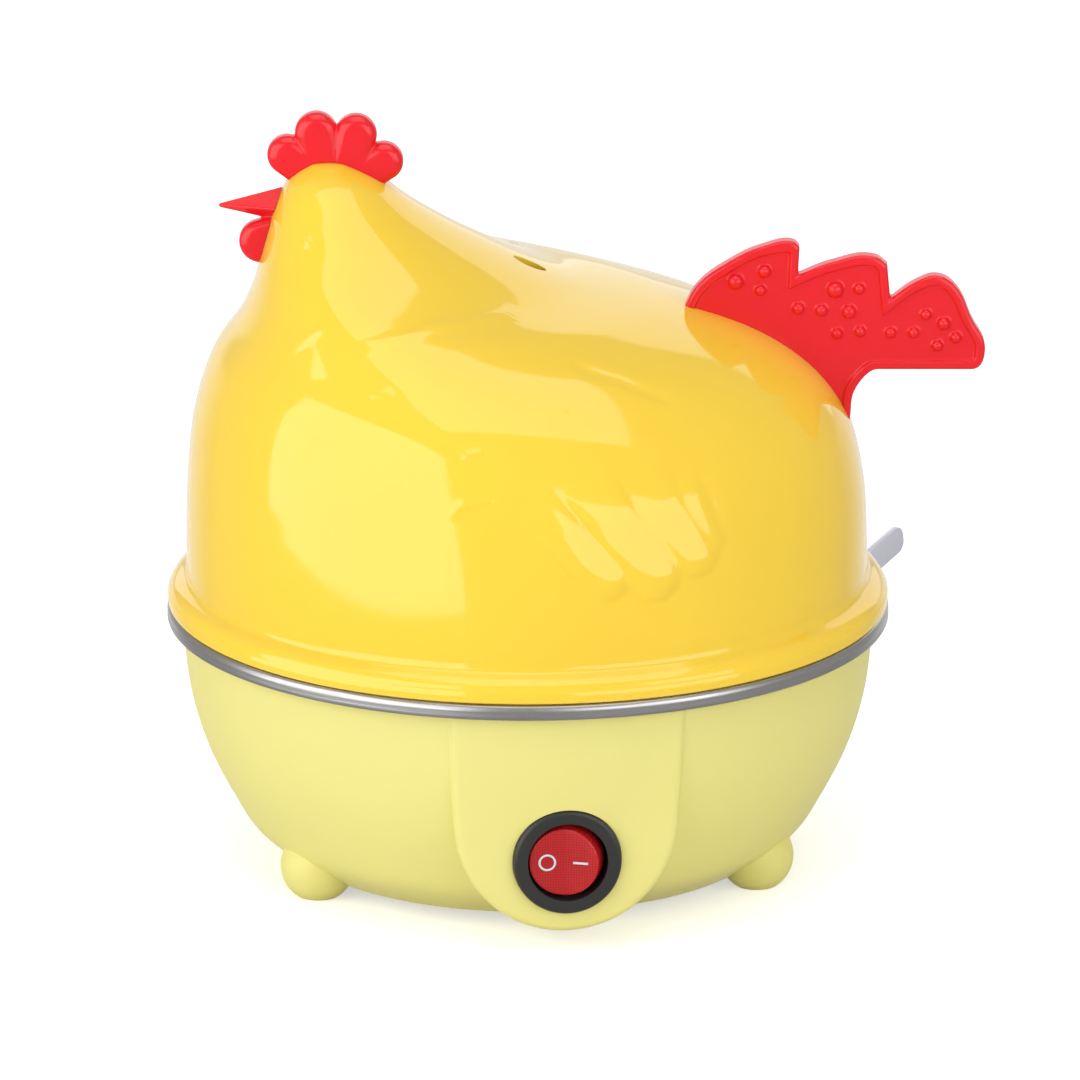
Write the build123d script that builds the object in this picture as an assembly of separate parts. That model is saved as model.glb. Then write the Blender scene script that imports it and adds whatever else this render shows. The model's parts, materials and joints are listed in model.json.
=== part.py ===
from build123d import *
import math
import os

# Egg boiler in the form of a sitting hen. Millimetres, +Z up, hen facing -X.
# Every piece is drawn about the upright axis of the round base, then moved so
# that the origin is on the table, under the middle of the whole object.

# Overall
rim_radius = 77.5
base_turn = 7.0

# How far round pieces stand inside the rim, one after the other
bowl_step = 3.5
band_width = 7.1
ledge_width = 5.9
flange_step = 0.2
flange_width = 4.3
lip_side_gap = 0.5
rack_side_gap = 2.8

# Base bowl
bowl_height = 53.8
bowl_wall = 2.2
bowl_floor_share = 0.689
foot_drop = 2.8
foot_radius = 8.0
foot_centre_height = 6.6
foot_circle_share = 1.065
foot_start = 87.5
foot_count = 3
post_radius = 4.2
counterbore_rise = 3.0

# Switch boss and switch
boss_half_width = 24.0
boss_bottom = 3.3
boss_step = 4.4
boss_edge = 4.0
switch_height = 20.5
switch_hole_radius = 10.0
bezel_radius = 11.5
bezel_thickness = 2.0
switch_depth = 16.0
rocker_opening_radius = 8.5
rocker_radius = 7.3
rocker_swing = 10.0
rocker_ridge = 1.6
rocker_pivot_depth = 3.0
rocker_back_depth = 5.0
switch_cavity_depth = 7.0
pivot_pin_radius = 1.0
pivot_pin_reach = 9.2
terminal_x = 5.0
terminal_length = 8.0
terminal_height = 6.3
terminal_thickness = 0.8
connector_wall = 0.9
crimp_length = 5.0
running_gap = 0.05
fit_gap = 0.1
tube_gap = 0.05

# Pan
pan_sheet = 0.8
band_height = 3.4
pan_ledge_drop = 5.7
pan_depth = 13.5

# Egg rack
rack_gap = 0.2
rack_thickness = 2.2
egg_hole_share = 0.2663
egg_pitch_share = 0.651
egg_ring_count = 6
rack_rim_width = 1.6
rack_rim_height = 2.0
rack_tab_width = 16.0
rack_tab_height = 16.0
rack_tab_inset = 4.6

# Lid
lid_gap = 0.1
lid_drawn_radius = 73.0
lid_wall = 2.0
flange_skirt = 2.2
flange_height = 5.2
lip_wall = 1.5
lip_depth = 2.5
steam_hole_length = 7.0
steam_hole_width = 4.4
steam_hole_x = 0.4
trim_gap = 0.1

# Red trim
trim_thickness = 6.0
comb_lobes = [((-51.1, 98.2), 4.3), ((-44.9, 103.0), 4.7), ((-36.5, 102.6), 4.5), ((-30.6, 96.8), 4.2)]
comb_foot = [(-33.0, 90.0), (-48.0, 90.0)]
beak_tip = (-65.3, 86.9)
beak_tip_half = 0.5
beak_root_x = -47.0
beak_root = [(0, 92.6), (5.4, 86.8), (0, 82.0), (-5.4, 86.8)]
wattle_centre = (-56.6, 79.2)
wattle_half_length = 5.3
wattle_half_height = 4.7
wattle_half_thickness = 2.6
wattle_root = (-51.9, 80.6)
wattle_root_length = 9.4
wattle_root_height = 6.6
tail_drawn_reach = 97.7
tail_border = 1.8
tail_panel_depth = 0.8
trim_screw_radius = 1.25
trim_screw_head_radius = 2.4
trim_screw_head_height = 1.6
trim_screw_bite = 4.0
trim_screw_seat_gap = 0.35
beak_screw_drop = 1.7

# Heater group
spreader_share = 0.568
spreader_thickness = 2.5
heater_ring_share = 0.413
heater_tube_radius = 3.5
heater_open_angle = 60.0
heater_bend_radius = 8.0
heater_pin_radius = 1.5
heater_pin_length = 6.0
thermostat_radius = 8.0
thermostat_flange_radius = 9.2
thermostat_height = 10.0
thermostat_tab_width = 4.0
thermostat_tab_drop = 6.0
bracket_thickness = 1.0
bracket_length_share = 0.31
bracket_half_width = 11.0
bracket_screw_share = 0.232
screw_radius = 1.5
screw_head_radius = 2.7
screw_head_height = 2.0
stud_radius = 4.0
stud_length = 7.4
wire_radius = 1.2
wire_run = 8.0
core_spacing = 1.6
fuse_radius = 2.0
fuse_length = 12.0

# Lead and plug
cord_radius = 2.75
relief_height = 12.0
relief_angle = 45.0
relief_neck_radius = 4.0
relief_base_radius = 6.0
relief_tip_radius = 3.8
relief_length = 26.0
relief_inside = 10.0
relief_root = 3.0
relief_collar_radius = 5.2
relief_collar_thickness = 2.0
coil_across = 35.6
coil_behind = 41.9
coil_mean_radius = 30.0
coil_turns_per_layer = 2
coil_pitch = 6.1
tie_thickness = 0.8
tie_width = 8.0
tie_angle = 120.0
tie_gap = 0.2
plug_across = 50.5
plug_behind = 17.0
plug_height = 18.2
plug_heading = 56.0
plug_tilt = 14.0
plug_run = 14.0
plug_length = 34.0
plug_front_width = 24.0
plug_front_thickness = 15.0
plug_back_width = 12.0
plug_back_thickness = 9.6
blade_length = 18.0
blade_width = 6.3
blade_thickness = 1.5
blade_pitch = 12.7

# Worked out from the sizes above
band_top = bowl_height + band_height
lid_seat = band_top + lid_gap
bowl_top_radius = rim_radius - bowl_step
bowl_floor_radius = bowl_top_radius * bowl_floor_share
foot_circle = bowl_floor_radius * foot_circle_share
boss_reach = bowl_top_radius - boss_step
pan_wall_radius = rim_radius - band_width
pan_inner_radius = pan_wall_radius - ledge_width
pan_ledge_height = band_top - pan_ledge_drop
pan_floor_height = pan_ledge_height - pan_depth
rack_radius = pan_wall_radius - rack_side_gap
rack_tab_radius = rack_radius - rack_tab_inset
egg_hole_radius = rack_radius * egg_hole_share
egg_pitch = rack_radius * egg_pitch_share
flange_radius = rim_radius - flange_step
lid_foot_radius = flange_radius - flange_width
lip_radius = pan_wall_radius - lip_side_gap
lid_scale = lid_foot_radius / lid_drawn_radius
tail_reach = tail_drawn_reach * lid_scale
spreader_radius = rim_radius * spreader_share
heater_ring_radius = rim_radius * heater_ring_share
bracket_half_length = rim_radius * bracket_length_share
bracket_screw_place = rim_radius * bracket_screw_share
coil_centre = (coil_across, rim_radius + coil_behind)
plug_back = (plug_across, rim_radius + plug_behind, plug_height)
pan_underside = pan_floor_height - pan_sheet
spreader_bottom = pan_underside - spreader_thickness
object_shift = (rim_radius - tail_reach) / 2
post_top = pan_underside - stud_length
switch_back = -boss_reach + switch_depth
connector_end = switch_back + terminal_length + crimp_length
counterbore_top = foot_drop + bowl_wall + counterbore_rise


def revolved(points):
    """A body of revolution about Z from (radius, height) points."""
    outline = Polyline(*[(r, 0, z) for r, z in points], close=True)
    return revolve(make_face(outline), Axis.Z)


def inset_line(points, inset):
    """Points moved by inset to the right hand of the way the line runs."""
    moved = []
    for i, (u, v) in enumerate(points):
        before = points[max(i - 1, 0)]
        after = points[min(i + 1, len(points) - 1)]
        du = after[0] - before[0]
        dv = after[1] - before[1]
        length = math.hypot(du, dv)
        moved.append((u + inset * dv / length, v - inset * du / length))
    return moved


def rod(radius, start, end):
    """A round bar between two points."""
    way = Vector(*end) - Vector(*start)
    plane = Plane(origin=start, z_dir=way)
    return plane * Cylinder(radius, way.length, align=(Align.CENTER, Align.CENTER, Align.MIN))


def corner_radii(points):
    """The largest even bend at each corner of a route."""
    radii = []
    for before, corner, after in zip(points, points[1:], points[2:]):
        run_in = Vector(*corner) - Vector(*before)
        run_out = Vector(*after) - Vector(*corner)
        turn = math.radians(run_in.get_angle(run_out))
        radii.append(0.45 * min(run_in.length, run_out.length) / math.tan(turn / 2))
    return radii


def tube(name, points, radius):
    """A round tube along straight runs and tangent arcs."""
    radii = corner_radii(points)
    path = FilletPolyline(*points, radius=radii)
    way = Vector(*points[1]) - Vector(*points[0])
    section = Plane(origin=points[0], z_dir=way) * Circle(radius)
    solid = sweep(section, path=path)
    expected = math.pi * radius**2 * path.length
    print(name, "length", round(path.length, 1), "radii", [round(r, 1) for r in radii],
          "volume share", round(solid.volume / expected, 4))
    return solid


def drawn(points):
    """Points of the lid's drawing, brought to the lid's own size."""
    return [(u * lid_scale, v * lid_scale) for u, v in points]


# Lid surface: each row has a point on the breast line, a point on the back line
# (x from the axis, height above the lid's seat), a half width across and how far
# the section narrows towards the back.
drawn_rows = [
    ((-lid_drawn_radius, 0.0), (lid_drawn_radius, 0.0), lid_drawn_radius, 0.0),
    ((-73.3, 13.0), (72.8, 13.0), 73.0, 0.0),
    ((-72.9, 28.0), (72.0, 27.0), 71.8, 0.01),
    ((-71.4, 42.0), (68.6, 40.5), 69.0, 0.04),
    ((-67.6, 54.0), (60.8, 51.6), 63.5, 0.08),
    ((-62.0, 62.3), (48.0, 60.2), 56.0, 0.12),
    ((-58.8, 69.2), (30.0, 66.2), 46.5, 0.18),
    ((-57.0, 75.6), (9.0, 70.8), 36.5, 0.22),
    ((-55.4, 81.4), (-9.0, 78.6), 27.0, 0.18),
    ((-53.6, 87.4), (-22.6, 86.2), 19.8, 0.1),
    ((-50.6, 93.4), (-31.4, 93.0), 13.0, 0.05),
    ((-46.4, 96.6), (-38.4, 96.6), 5.4, 0.0),
]
lid_rows = []
for front, back, half_width, narrowing in drawn_rows:
    lid_rows.append((*drawn([front, back]), half_width * lid_scale, narrowing))
section_points = 24


def lid_form(inset):
    """The solid inside the lid's outer face moved inwards by inset."""
    front = inset_line([row[0] for row in lid_rows], inset)
    back = inset_line([row[1] for row in lid_rows], -inset)
    front[0] = (front[0][0], -inset)
    back[0] = (back[0][0], -inset)
    middle = [((f[0] + b[0]) / 2, (f[1] + b[1]) / 2) for f, b in zip(front, back)]
    widths = [row[2] for row in lid_rows]
    wires = []
    for i, row in enumerate(lid_rows):
        low = max(i - 1, 0)
        high = min(i + 1, len(lid_rows) - 1)
        climb = math.dist(middle[low], middle[high])
        slope = (widths[high] - widths[low]) / climb
        half_width = row[2] - inset * math.hypot(1, slope)
        half_length = math.dist(front[i], back[i]) / 2
        tilt = math.atan2(back[i][1] - front[i][1], back[i][0] - front[i][0])
        points = []
        for step in range(section_points):
            turn = 2 * math.pi * step / section_points
            along = half_length * math.cos(turn)
            across = half_width * math.sin(turn) * (1 - row[3] * math.cos(turn))
            points.append((
                middle[i][0] + along * math.cos(tilt),
                across,
                middle[i][1] + along * math.sin(tilt),
            ))
        wires.append(Wire([Edge.make_spline([Vector(*p) for p in points], periodic=True)]))
    return Solid.make_loft(wires)


def surface_place(line, index, side):
    """A point of the breast (side 1) or back (side -1) line and its outward normal."""
    points = [row[line] for row in lid_rows]
    du = points[index + 1][0] - points[index - 1][0]
    dv = points[index + 1][1] - points[index - 1][1]
    length = math.hypot(du, dv)
    place = Vector(points[index][0], 0, points[index][1])
    normal = Vector(-side * dv / length, 0, side * du / length)
    return place, normal


# Where the trim screws go through the lid, and which way is out
cap_front, cap_back = lid_rows[-1][0], lid_rows[-1][1]
comb_seat = Vector((cap_front[0] + cap_back[0]) / 2, 0, cap_front[1])
beak_seat, beak_way = surface_place(0, 9, 1)
beak_seat -= Vector(beak_way.Z, 0, -beak_way.X) * beak_screw_drop
screw_places = {
    "comb": (comb_seat, Vector(0, 0, 1)),
    "beak": (beak_seat, beak_way),
    "tail_upper": surface_place(1, 5, -1),
    "tail_lower": surface_place(1, 4, -1),
}


def trim_screw_solid(place, normal):
    """A pan head screw from inside the lid wall outwards into a trim piece."""
    seat = place - normal * (lid_wall + trim_screw_seat_gap)
    head_end = seat - normal * trim_screw_head_height
    tip = place + normal * trim_screw_bite
    head = rod(trim_screw_head_radius, tuple(head_end), tuple(seat))
    return head + rod(trim_screw_radius, tuple(seat), tuple(tip))


def trim_screw_hole(place, normal, gap):
    """The bore that a trim screw passes through."""
    start = place - normal * (lid_wall + trim_screw_seat_gap)
    end = place + normal * (trim_screw_bite + gap)
    return rod(trim_screw_radius + gap, tuple(start), tuple(end))


def make_lid():
    flange_inside = lip_radius - lip_wall
    with BuildPart() as flange:
        with BuildSketch(Plane.XZ):
            with BuildLine():
                Polyline(
                    (lid_foot_radius - lid_wall / 2, flange_height),
                    (lid_foot_radius - lid_wall / 2, flange_skirt),
                    (flange_inside, flange_skirt),
                    (flange_inside, -lip_depth),
                    (lip_radius, -lip_depth),
                    (lip_radius, 0),
                    (flange_radius, 0),
                    (flange_radius, flange_skirt),
                )
                RadiusArc(
                    (flange_radius, flange_skirt),
                    (lid_foot_radius - lid_wall / 2, flange_height),
                    -2 * flange_height,
                )
            make_face()
        revolve(axis=Axis.Z)
    shell = lid_form(0) - lid_form(lid_wall) + flange.part
    hole = SlotOverall(steam_hole_length, steam_hole_width)
    shell -= Pos(steam_hole_x, 0, lid_rows[6][1][1]) * extrude(hole, 4 * steam_hole_length)
    for place, normal in screw_places.values():
        shell -= trim_screw_hole(place, normal, 2 * fit_gap)
    return shell


def make_comb(seat):
    centres = drawn([place for place, radius in comb_lobes])
    with BuildPart() as comb:
        with BuildSketch(Plane.XZ):
            with BuildLine():
                Polyline(*centres, *drawn(comb_foot), close=True)
            make_face()
            for centre, (place, radius) in zip(centres, comb_lobes):
                with Locations(centre):
                    Circle(radius * lid_scale)
        extrude(amount=trim_thickness / 2, both=True)
    place, normal = screw_places["comb"]
    return comb.part - seat - trim_screw_hole(place, normal, tube_gap)


def make_beak(seat):
    tip_x, tip_z = drawn([beak_tip])[0]
    small = beak_tip_half
    root_x = beak_root_x * lid_scale
    root = Wire(Polyline(*[(root_x, y, z) for y, z in drawn(beak_root)], close=True).edges())
    ends = [(0, small), (small, 0), (0, -small), (-small, 0)]
    point = Wire(Polyline(*[(tip_x, y, tip_z + z) for y, z in ends], close=True).edges())
    beak = Solid.make_loft([root, point], ruled=True)
    with BuildPart() as wattle:
        with BuildSketch(Plane.XZ):
            with Locations(*drawn([wattle_centre])):
                Ellipse(wattle_half_length * lid_scale, wattle_half_height * lid_scale)
            with Locations(*drawn([wattle_root])):
                Rectangle(wattle_root_length * lid_scale, wattle_root_height * lid_scale)
        extrude(amount=wattle_half_thickness, both=True)
    place, normal = screw_places["beak"]
    return beak + wattle.part - seat - trim_screw_hole(place, normal, tube_gap)


tail_beads = [
    ((44.3, 70.5), 1.7), ((50.4, 72.8), 1.3), ((49.6, 68.6), 1.1), ((65.5, 68.8), 1.7),
    ((70.6, 69.0), 1.1), ((57.7, 64.6), 1.3), ((62.6, 64.2), 1.3), ((68.5, 63.9), 1.5),
    ((66.0, 59.1), 1.1), ((70.9, 59.5), 1.1), ((77.4, 59.3), 1.1), ((82.3, 59.3), 1.1),
    ((84.9, 63.3), 1.1), ((88.7, 61.3), 1.3), ((91.3, 58.2), 1.1), ((87.4, 56.4), 1.1),
]


tail_line = [
    [(33.0, 64.0), (36.0, 69.6), (43.0, 75.0), (50.0, 78.3), (56.6, 79.4)],
    [(56.6, 79.4), (57.9, 78.2)],
    [(57.9, 78.2), (57.6, 71.9)],
    [(57.6, 71.9), (64.7, 74.8), (74.0, 76.1)],
    [(74.0, 76.1), (76.6, 74.3)],
    [(76.6, 74.3), (77.3, 66.6)],
    [(77.3, 66.6), (83.2, 70.8), (87.4, 71.9), (90.9, 69.9), (94.6, 62.6), (tail_drawn_reach, 54.8),
     (tail_drawn_reach - 2.6, 51.1)],
    [(tail_drawn_reach - 2.6, 51.1), (75.0, 51.1)],
    [(75.0, 51.1), (70.2, 47.0), (68.7, 39.0)],
    [(68.7, 39.0), (56.0, 40.0)],
    [(56.0, 40.0), (33.0, 56.0)],
    [(33.0, 56.0), (33.0, 64.0)],
]


def inset_corner(before, corner, after, inset):
    """A corner of a clockwise outline moved so that both its sides move in by inset."""
    length_in = math.dist(before, corner)
    length_out = math.dist(corner, after)
    normal_in = ((corner[1] - before[1]) / length_in, (before[0] - corner[0]) / length_in)
    normal_out = ((after[1] - corner[1]) / length_out, (corner[0] - after[0]) / length_out)
    share = inset / (1 + normal_in[0] * normal_out[0] + normal_in[1] * normal_out[1])
    across = share * (normal_in[0] + normal_out[0])
    along = share * (normal_in[1] + normal_out[1])
    return (corner[0] + across, corner[1] + along)


def tail_face(inset):
    """The tail's outline, moved in by inset, as a face in the hen's upright plane."""
    corners = drawn([point for stretch in tail_line for point in stretch[:-1]])
    moved = []
    for i, corner in enumerate(corners):
        after = corners[(i + 1) % len(corners)]
        moved.append(inset_corner(corners[i - 1], corner, after, inset))
    moved.append(moved[0])
    with BuildSketch(Plane.XZ) as outline:
        with BuildLine():
            start = 0
            for stretch in tail_line:
                end = start + len(stretch)
                points = moved[start:end]
                if len(points) > 2:
                    Spline(*points)
                else:
                    Line(*points)
                start = end - 1
        make_face()
    return outline.sketch


def make_tail(seat):
    plate = extrude(tail_face(0), trim_thickness / 2, both=True)
    panel = tail_face(tail_border)
    level = trim_thickness / 2 - tail_panel_depth
    for side in (1, -1):
        pocket = extrude(panel, trim_thickness, dir=(0, side, 0))
        plate -= Pos(0, side * level, 0) * pocket
        for (x, z), radius in tail_beads:
            plate += Pos(x * lid_scale, side * level, z * lid_scale) * Sphere(radius)
    for name in ("tail_upper", "tail_lower"):
        plate -= trim_screw_hole(*screw_places[name], tube_gap)
    return plate - seat


# Bowl outline: shares of the way from the floor's edge to the top's edge, across and up
bowl_shares = [(0, 0), (0.37, 0.1255), (0.5435, 0.2431), (0.8, 0.4784), (0.952, 0.7294), (1, 1)]
bowl_line = [
    (
        bowl_floor_radius + across * (bowl_top_radius - bowl_floor_radius),
        foot_drop + up * (bowl_height - foot_drop),
    )
    for across, up in bowl_shares
]


def bowl_form(inset, top):
    """The solid of revolution inside the bowl's outer face moved inwards by inset."""
    line = inset_line(bowl_line, -inset)
    floor = foot_drop + inset
    with BuildPart() as form:
        with BuildSketch(Plane.XZ):
            with BuildLine():
                Polyline((line[0][0], floor), (0, floor), (0, top), (line[-1][0], top), line[-1])
                Spline(line[-1], *reversed(line[1:-1]), (line[0][0], floor))
            make_face()
        revolve(axis=Axis.Z)
    return form.part


def boss_form(inset):
    """The solid of the switch boss moved inwards by inset."""
    half = boss_half_width - inset
    centre_height = boss_bottom + boss_half_width
    with BuildPart() as boss:
        with BuildSketch(Plane.XZ.offset(boss_reach - inset)):
            with Locations((0, centre_height)):
                Circle(half)
            with Locations((0, (centre_height + bowl_height - inset) / 2)):
                Rectangle(2 * half, bowl_height - inset - centre_height)
        extrude(amount=-boss_half_width)
        front = boss.faces().sort_by(Axis.Y)[0]
        top = bowl_height - inset - bowl_wall
        lower = [edge for edge in front.edges() if edge.center().Z < top]
        fillet(lower, boss_edge - inset)
    return boss.part


def around(count, radius, start):
    """Places evenly spaced on a circle, the first at the start angle."""
    places = []
    for i in range(count):
        angle = math.radians(start + 360 * i / count)
        places.append((radius * math.cos(angle), radius * math.sin(angle)))
    return places


foot_places = around(foot_count, foot_circle, foot_start)


def relief_way():
    angle = math.radians(relief_angle)
    return math.cos(angle), math.sin(angle)


def relief_point(radius):
    way = relief_way()
    return (radius * way[0], radius * way[1], relief_height)


def make_bowl():
    pan_clear_top = band_top - pan_sheet
    bowl = bowl_form(0, pan_clear_top) + boss_form(0)
    for x, y in foot_places:
        ball = Pos(x, y, foot_centre_height) * Sphere(foot_radius)
        bowl += ball & Pos(x, y, 0) * Cylinder(2 * foot_radius, foot_centre_height + foot_drop,
                                               align=(Align.CENTER, Align.CENTER, Align.MIN))
    bowl -= bowl_form(bowl_wall, 2 * bowl_height) + boss_form(bowl_wall)
    for x, y in foot_places:
        bowl += rod(post_radius, (x, y, foot_drop), (x, y, post_top))
        bowl -= rod(screw_head_radius + 3 * fit_gap, (x, y, 0), (x, y, counterbore_top))
        bowl -= rod(screw_radius + 2 * fit_gap, (x, y, 0), (x, y, post_top))
    switch_seat = (0, -boss_reach, switch_height)
    bowl -= rod(bezel_radius + fit_gap, (0, -rim_radius, switch_height), switch_seat)
    bowl -= rod(switch_hole_radius, switch_seat, (0, -boss_reach + 2 * bowl_wall, switch_height))
    relief_hole = relief_neck_radius + fit_gap
    bowl -= rod(relief_hole, relief_point(bowl_floor_radius), relief_point(2 * bowl_top_radius))
    return bowl


def make_pan():
    under = band_top - pan_sheet
    ledge_under = pan_ledge_height - pan_sheet
    return revolved([
        (0, pan_floor_height),
        (pan_inner_radius, pan_floor_height),
        (pan_inner_radius, pan_ledge_height),
        (pan_wall_radius, pan_ledge_height),
        (pan_wall_radius, band_top),
        (rim_radius - pan_sheet / 2, band_top),
        (rim_radius, band_top - pan_sheet / 2),
        (rim_radius, bowl_height),
        (rim_radius - pan_sheet, bowl_height),
        (rim_radius - pan_sheet, under),
        (pan_wall_radius + pan_sheet, under),
        (pan_wall_radius + pan_sheet, ledge_under),
        (pan_inner_radius + pan_sheet, ledge_under),
        (pan_inner_radius + pan_sheet, pan_underside),
        (0, pan_underside),
    ])


def make_rack():
    bottom = pan_ledge_height + rack_gap
    top = bottom + rack_thickness
    up = (Align.CENTER, Align.CENTER, Align.MIN)
    rack = Pos(0, 0, bottom) * Cylinder(rack_radius, rack_thickness, align=up)
    rim = Cylinder(rack_radius, rack_rim_height, align=up)
    rim -= Cylinder(rack_radius - rack_rim_width, rack_rim_height, align=up)
    rack += Pos(0, 0, top) * rim
    for x, y in [(0, 0)] + around(egg_ring_count, egg_pitch, 0):
        collar = Cylinder(egg_hole_radius + rack_rim_width, rack_rim_height, align=up)
        rack += Pos(x, y, top) * collar
    for x, y in [(0, 0)] + around(egg_ring_count, egg_pitch, 0):
        rack -= rod(egg_hole_radius, (x, y, bottom), (x, y, top + rack_rim_height))
    for angle in (30, 210):
        tab = Box(rack_thickness, rack_tab_width, rack_tab_height, align=up)
        tab = fillet(tab.edges().filter_by(Axis.X).group_by(Axis.Z)[-1], rack_tab_width / 3)
        rack += Rot(0, 0, angle) * Pos(rack_tab_radius, 0, top - fit_gap) * tab
    return rack


def make_heater():
    level = spreader_bottom - tube_gap - heater_tube_radius
    start = -90 + heater_open_angle / 2
    ring = CenterArc((0, 0, level), heater_ring_radius, start, 360 - heater_open_angle)
    first = Vector(*(ring @ 0))
    last = Vector(*(ring @ 1))
    drop = Vector(0, 0, -heater_bend_radius)
    lead_in = (ring % 0) * -heater_bend_radius
    lead_out = (ring % 1) * heater_bend_radius
    bend_in = TangentArc(first, first + lead_in + drop, tangent=ring % 0 * -1)
    bend_out = TangentArc(last, last + lead_out + drop, tangent=ring % 1)
    path = Wire([bend_in.edge(), ring.edge(), bend_out.edge()])
    end_in = first + lead_in + drop
    end_out = last + lead_out + drop
    section = Plane(origin=end_in, z_dir=(0, 0, 1)) * Circle(heater_tube_radius)
    pins = Compound([
        rod(heater_pin_radius, tuple(end), (end.X, end.Y, end.Z - heater_pin_length))
        for end in (end_in, end_out)
    ])
    tips = [(end.X, end.Y, end.Z - heater_pin_length) for end in (end_in, end_out)]
    return sweep(section, path=path), pins, tips


def make_thermostat():
    bracket_bottom = spreader_bottom - bracket_thickness
    bottom = spreader_bottom - thermostat_height
    body = rod(thermostat_radius, (0, 0, bottom), (0, 0, spreader_bottom))
    body += rod(thermostat_flange_radius, (0, 0, bottom), (0, 0, bracket_bottom - tube_gap))
    down = (Align.CENTER, Align.CENTER, Align.MAX)
    tab = Box(thermostat_tab_width, terminal_thickness, thermostat_tab_drop, align=down)
    tips = []
    for x in (-thermostat_radius / 2, thermostat_radius / 2):
        body += Pos(x, 0, bottom) * tab
        tips.append((x, 0, bottom - thermostat_tab_drop))
    return body, tips


def make_bracket():
    outline = RectangleRounded(2 * bracket_half_length, 2 * bracket_half_width, bracket_half_width / 2)
    plate = extrude(outline, bracket_thickness)
    plate = Pos(0, 0, spreader_bottom - bracket_thickness) * plate
    plate -= rod(thermostat_radius + fit_gap, (0, 0, 0), (0, 0, pan_underside))
    for x in (-bracket_screw_place, bracket_screw_place):
        plate -= rod(screw_radius + fit_gap, (x, 0, 0), (x, 0, pan_underside))
    return plate


def bracket_screw(x):
    seat = spreader_bottom - bracket_thickness
    head = rod(screw_head_radius, (x, 0, seat - screw_head_height), (x, 0, seat))
    return head + rod(screw_radius, (x, 0, seat), (x, 0, pan_underside - fit_gap))


def base_screw(x, y):
    head = rod(screw_head_radius, (x, y, counterbore_top - screw_head_height), (x, y, counterbore_top))
    return head + rod(screw_radius, (x, y, counterbore_top), (x, y, pan_underside - 2 * pan_sheet))


def pan_stud(x, y):
    stud = rod(stud_radius, (x, y, post_top), (x, y, pan_underside))
    return stud - rod(screw_radius + tube_gap, (x, y, post_top), (x, y, pan_underside - pan_sheet))


def make_spreader():
    up = (Align.CENTER, Align.CENTER, Align.MIN)
    plate = Pos(0, 0, spreader_bottom) * Cylinder(spreader_radius, spreader_thickness, align=up)
    for x in (-bracket_screw_place, bracket_screw_place):
        plate -= rod(screw_radius + tube_gap, (x, 0, 0), (x, 0, pan_underside))
    return plate


def make_housing():
    def bar(radius, near, far):
        return rod(radius, (0, near, switch_height), (0, far, switch_height))

    front = -boss_reach - bezel_thickness
    bezel = bar(bezel_radius, front, -boss_reach)
    bezel = fillet(bezel.edges().sort_by(Axis.Y)[0], bezel_thickness / 2)
    housing = bezel + bar(switch_hole_radius - fit_gap, -boss_reach, switch_back)
    housing -= bar(rocker_opening_radius, front, -boss_reach + switch_cavity_depth)
    pivot_y = -boss_reach + rocker_pivot_depth
    reach = pivot_pin_reach + 2 * fit_gap
    housing -= rod(pivot_pin_radius + running_gap, (0, pivot_y, switch_height - reach),
                   (0, pivot_y, switch_height + reach))
    return housing


def make_rocker():
    pivot_y = -boss_reach + rocker_pivot_depth
    rise = math.tan(math.radians(rocker_swing)) * bezel_radius
    with BuildPart() as rocker:
        with BuildSketch(Plane.XY):
            with BuildLine():
                Polyline(
                    (-bezel_radius, rocker_back_depth),
                    (bezel_radius, rocker_back_depth),
                    (bezel_radius, -rocker_ridge - rise),
                    (0, -rocker_ridge),
                    (-bezel_radius, -rocker_ridge - rise),
                    close=True,
                )
            make_face()
        extrude(amount=bezel_radius, both=True)
    body = rocker.part & rod(rocker_radius, (0, -2 * bezel_radius, 0), (0, 2 * bezel_radius, 0))
    body = Pos(0, -rocker_pivot_depth, 0) * body
    body += rod(pivot_pin_radius, (0, 0, -pivot_pin_reach), (0, 0, pivot_pin_reach))
    return Pos(0, pivot_y, switch_height) * Rot(0, 0, -rocker_swing) * body


def terminal(x):
    back = (Align.CENTER, Align.MIN, Align.CENTER)
    blank = Box(terminal_thickness, terminal_length, terminal_height, align=back)
    return Pos(x, switch_back, switch_height) * blank


def spade(x):
    back = (Align.CENTER, Align.MIN, Align.CENTER)
    thickness = terminal_thickness + 2 * connector_wall
    height = terminal_height + 2 * connector_wall
    sleeve = Box(thickness, terminal_length, height, align=back)
    inside = terminal_length - connector_wall
    sleeve -= Box(terminal_thickness + fit_gap, inside, terminal_height + fit_gap, align=back)
    start = switch_back + terminal_length
    crimp = rod(1.4 * wire_radius, (x, start, switch_height), (x, connector_end, switch_height))
    return Pos(x, switch_back + connector_wall, switch_height) * sleeve + crimp


def bowl_radius_at(height):
    """The outer radius of the bowl at a height."""
    for (r0, z0), (r1, z1) in zip(bowl_line, bowl_line[1:]):
        if z0 <= height <= z1:
            return r0 + (r1 - r0) * (height - z0) / (z1 - z0)
    return bowl_top_radius


relief_wall_radius = bowl_radius_at(relief_height)
relief_end_radius = relief_wall_radius + relief_length
relief_inner_radius = relief_wall_radius - relief_inside


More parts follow.
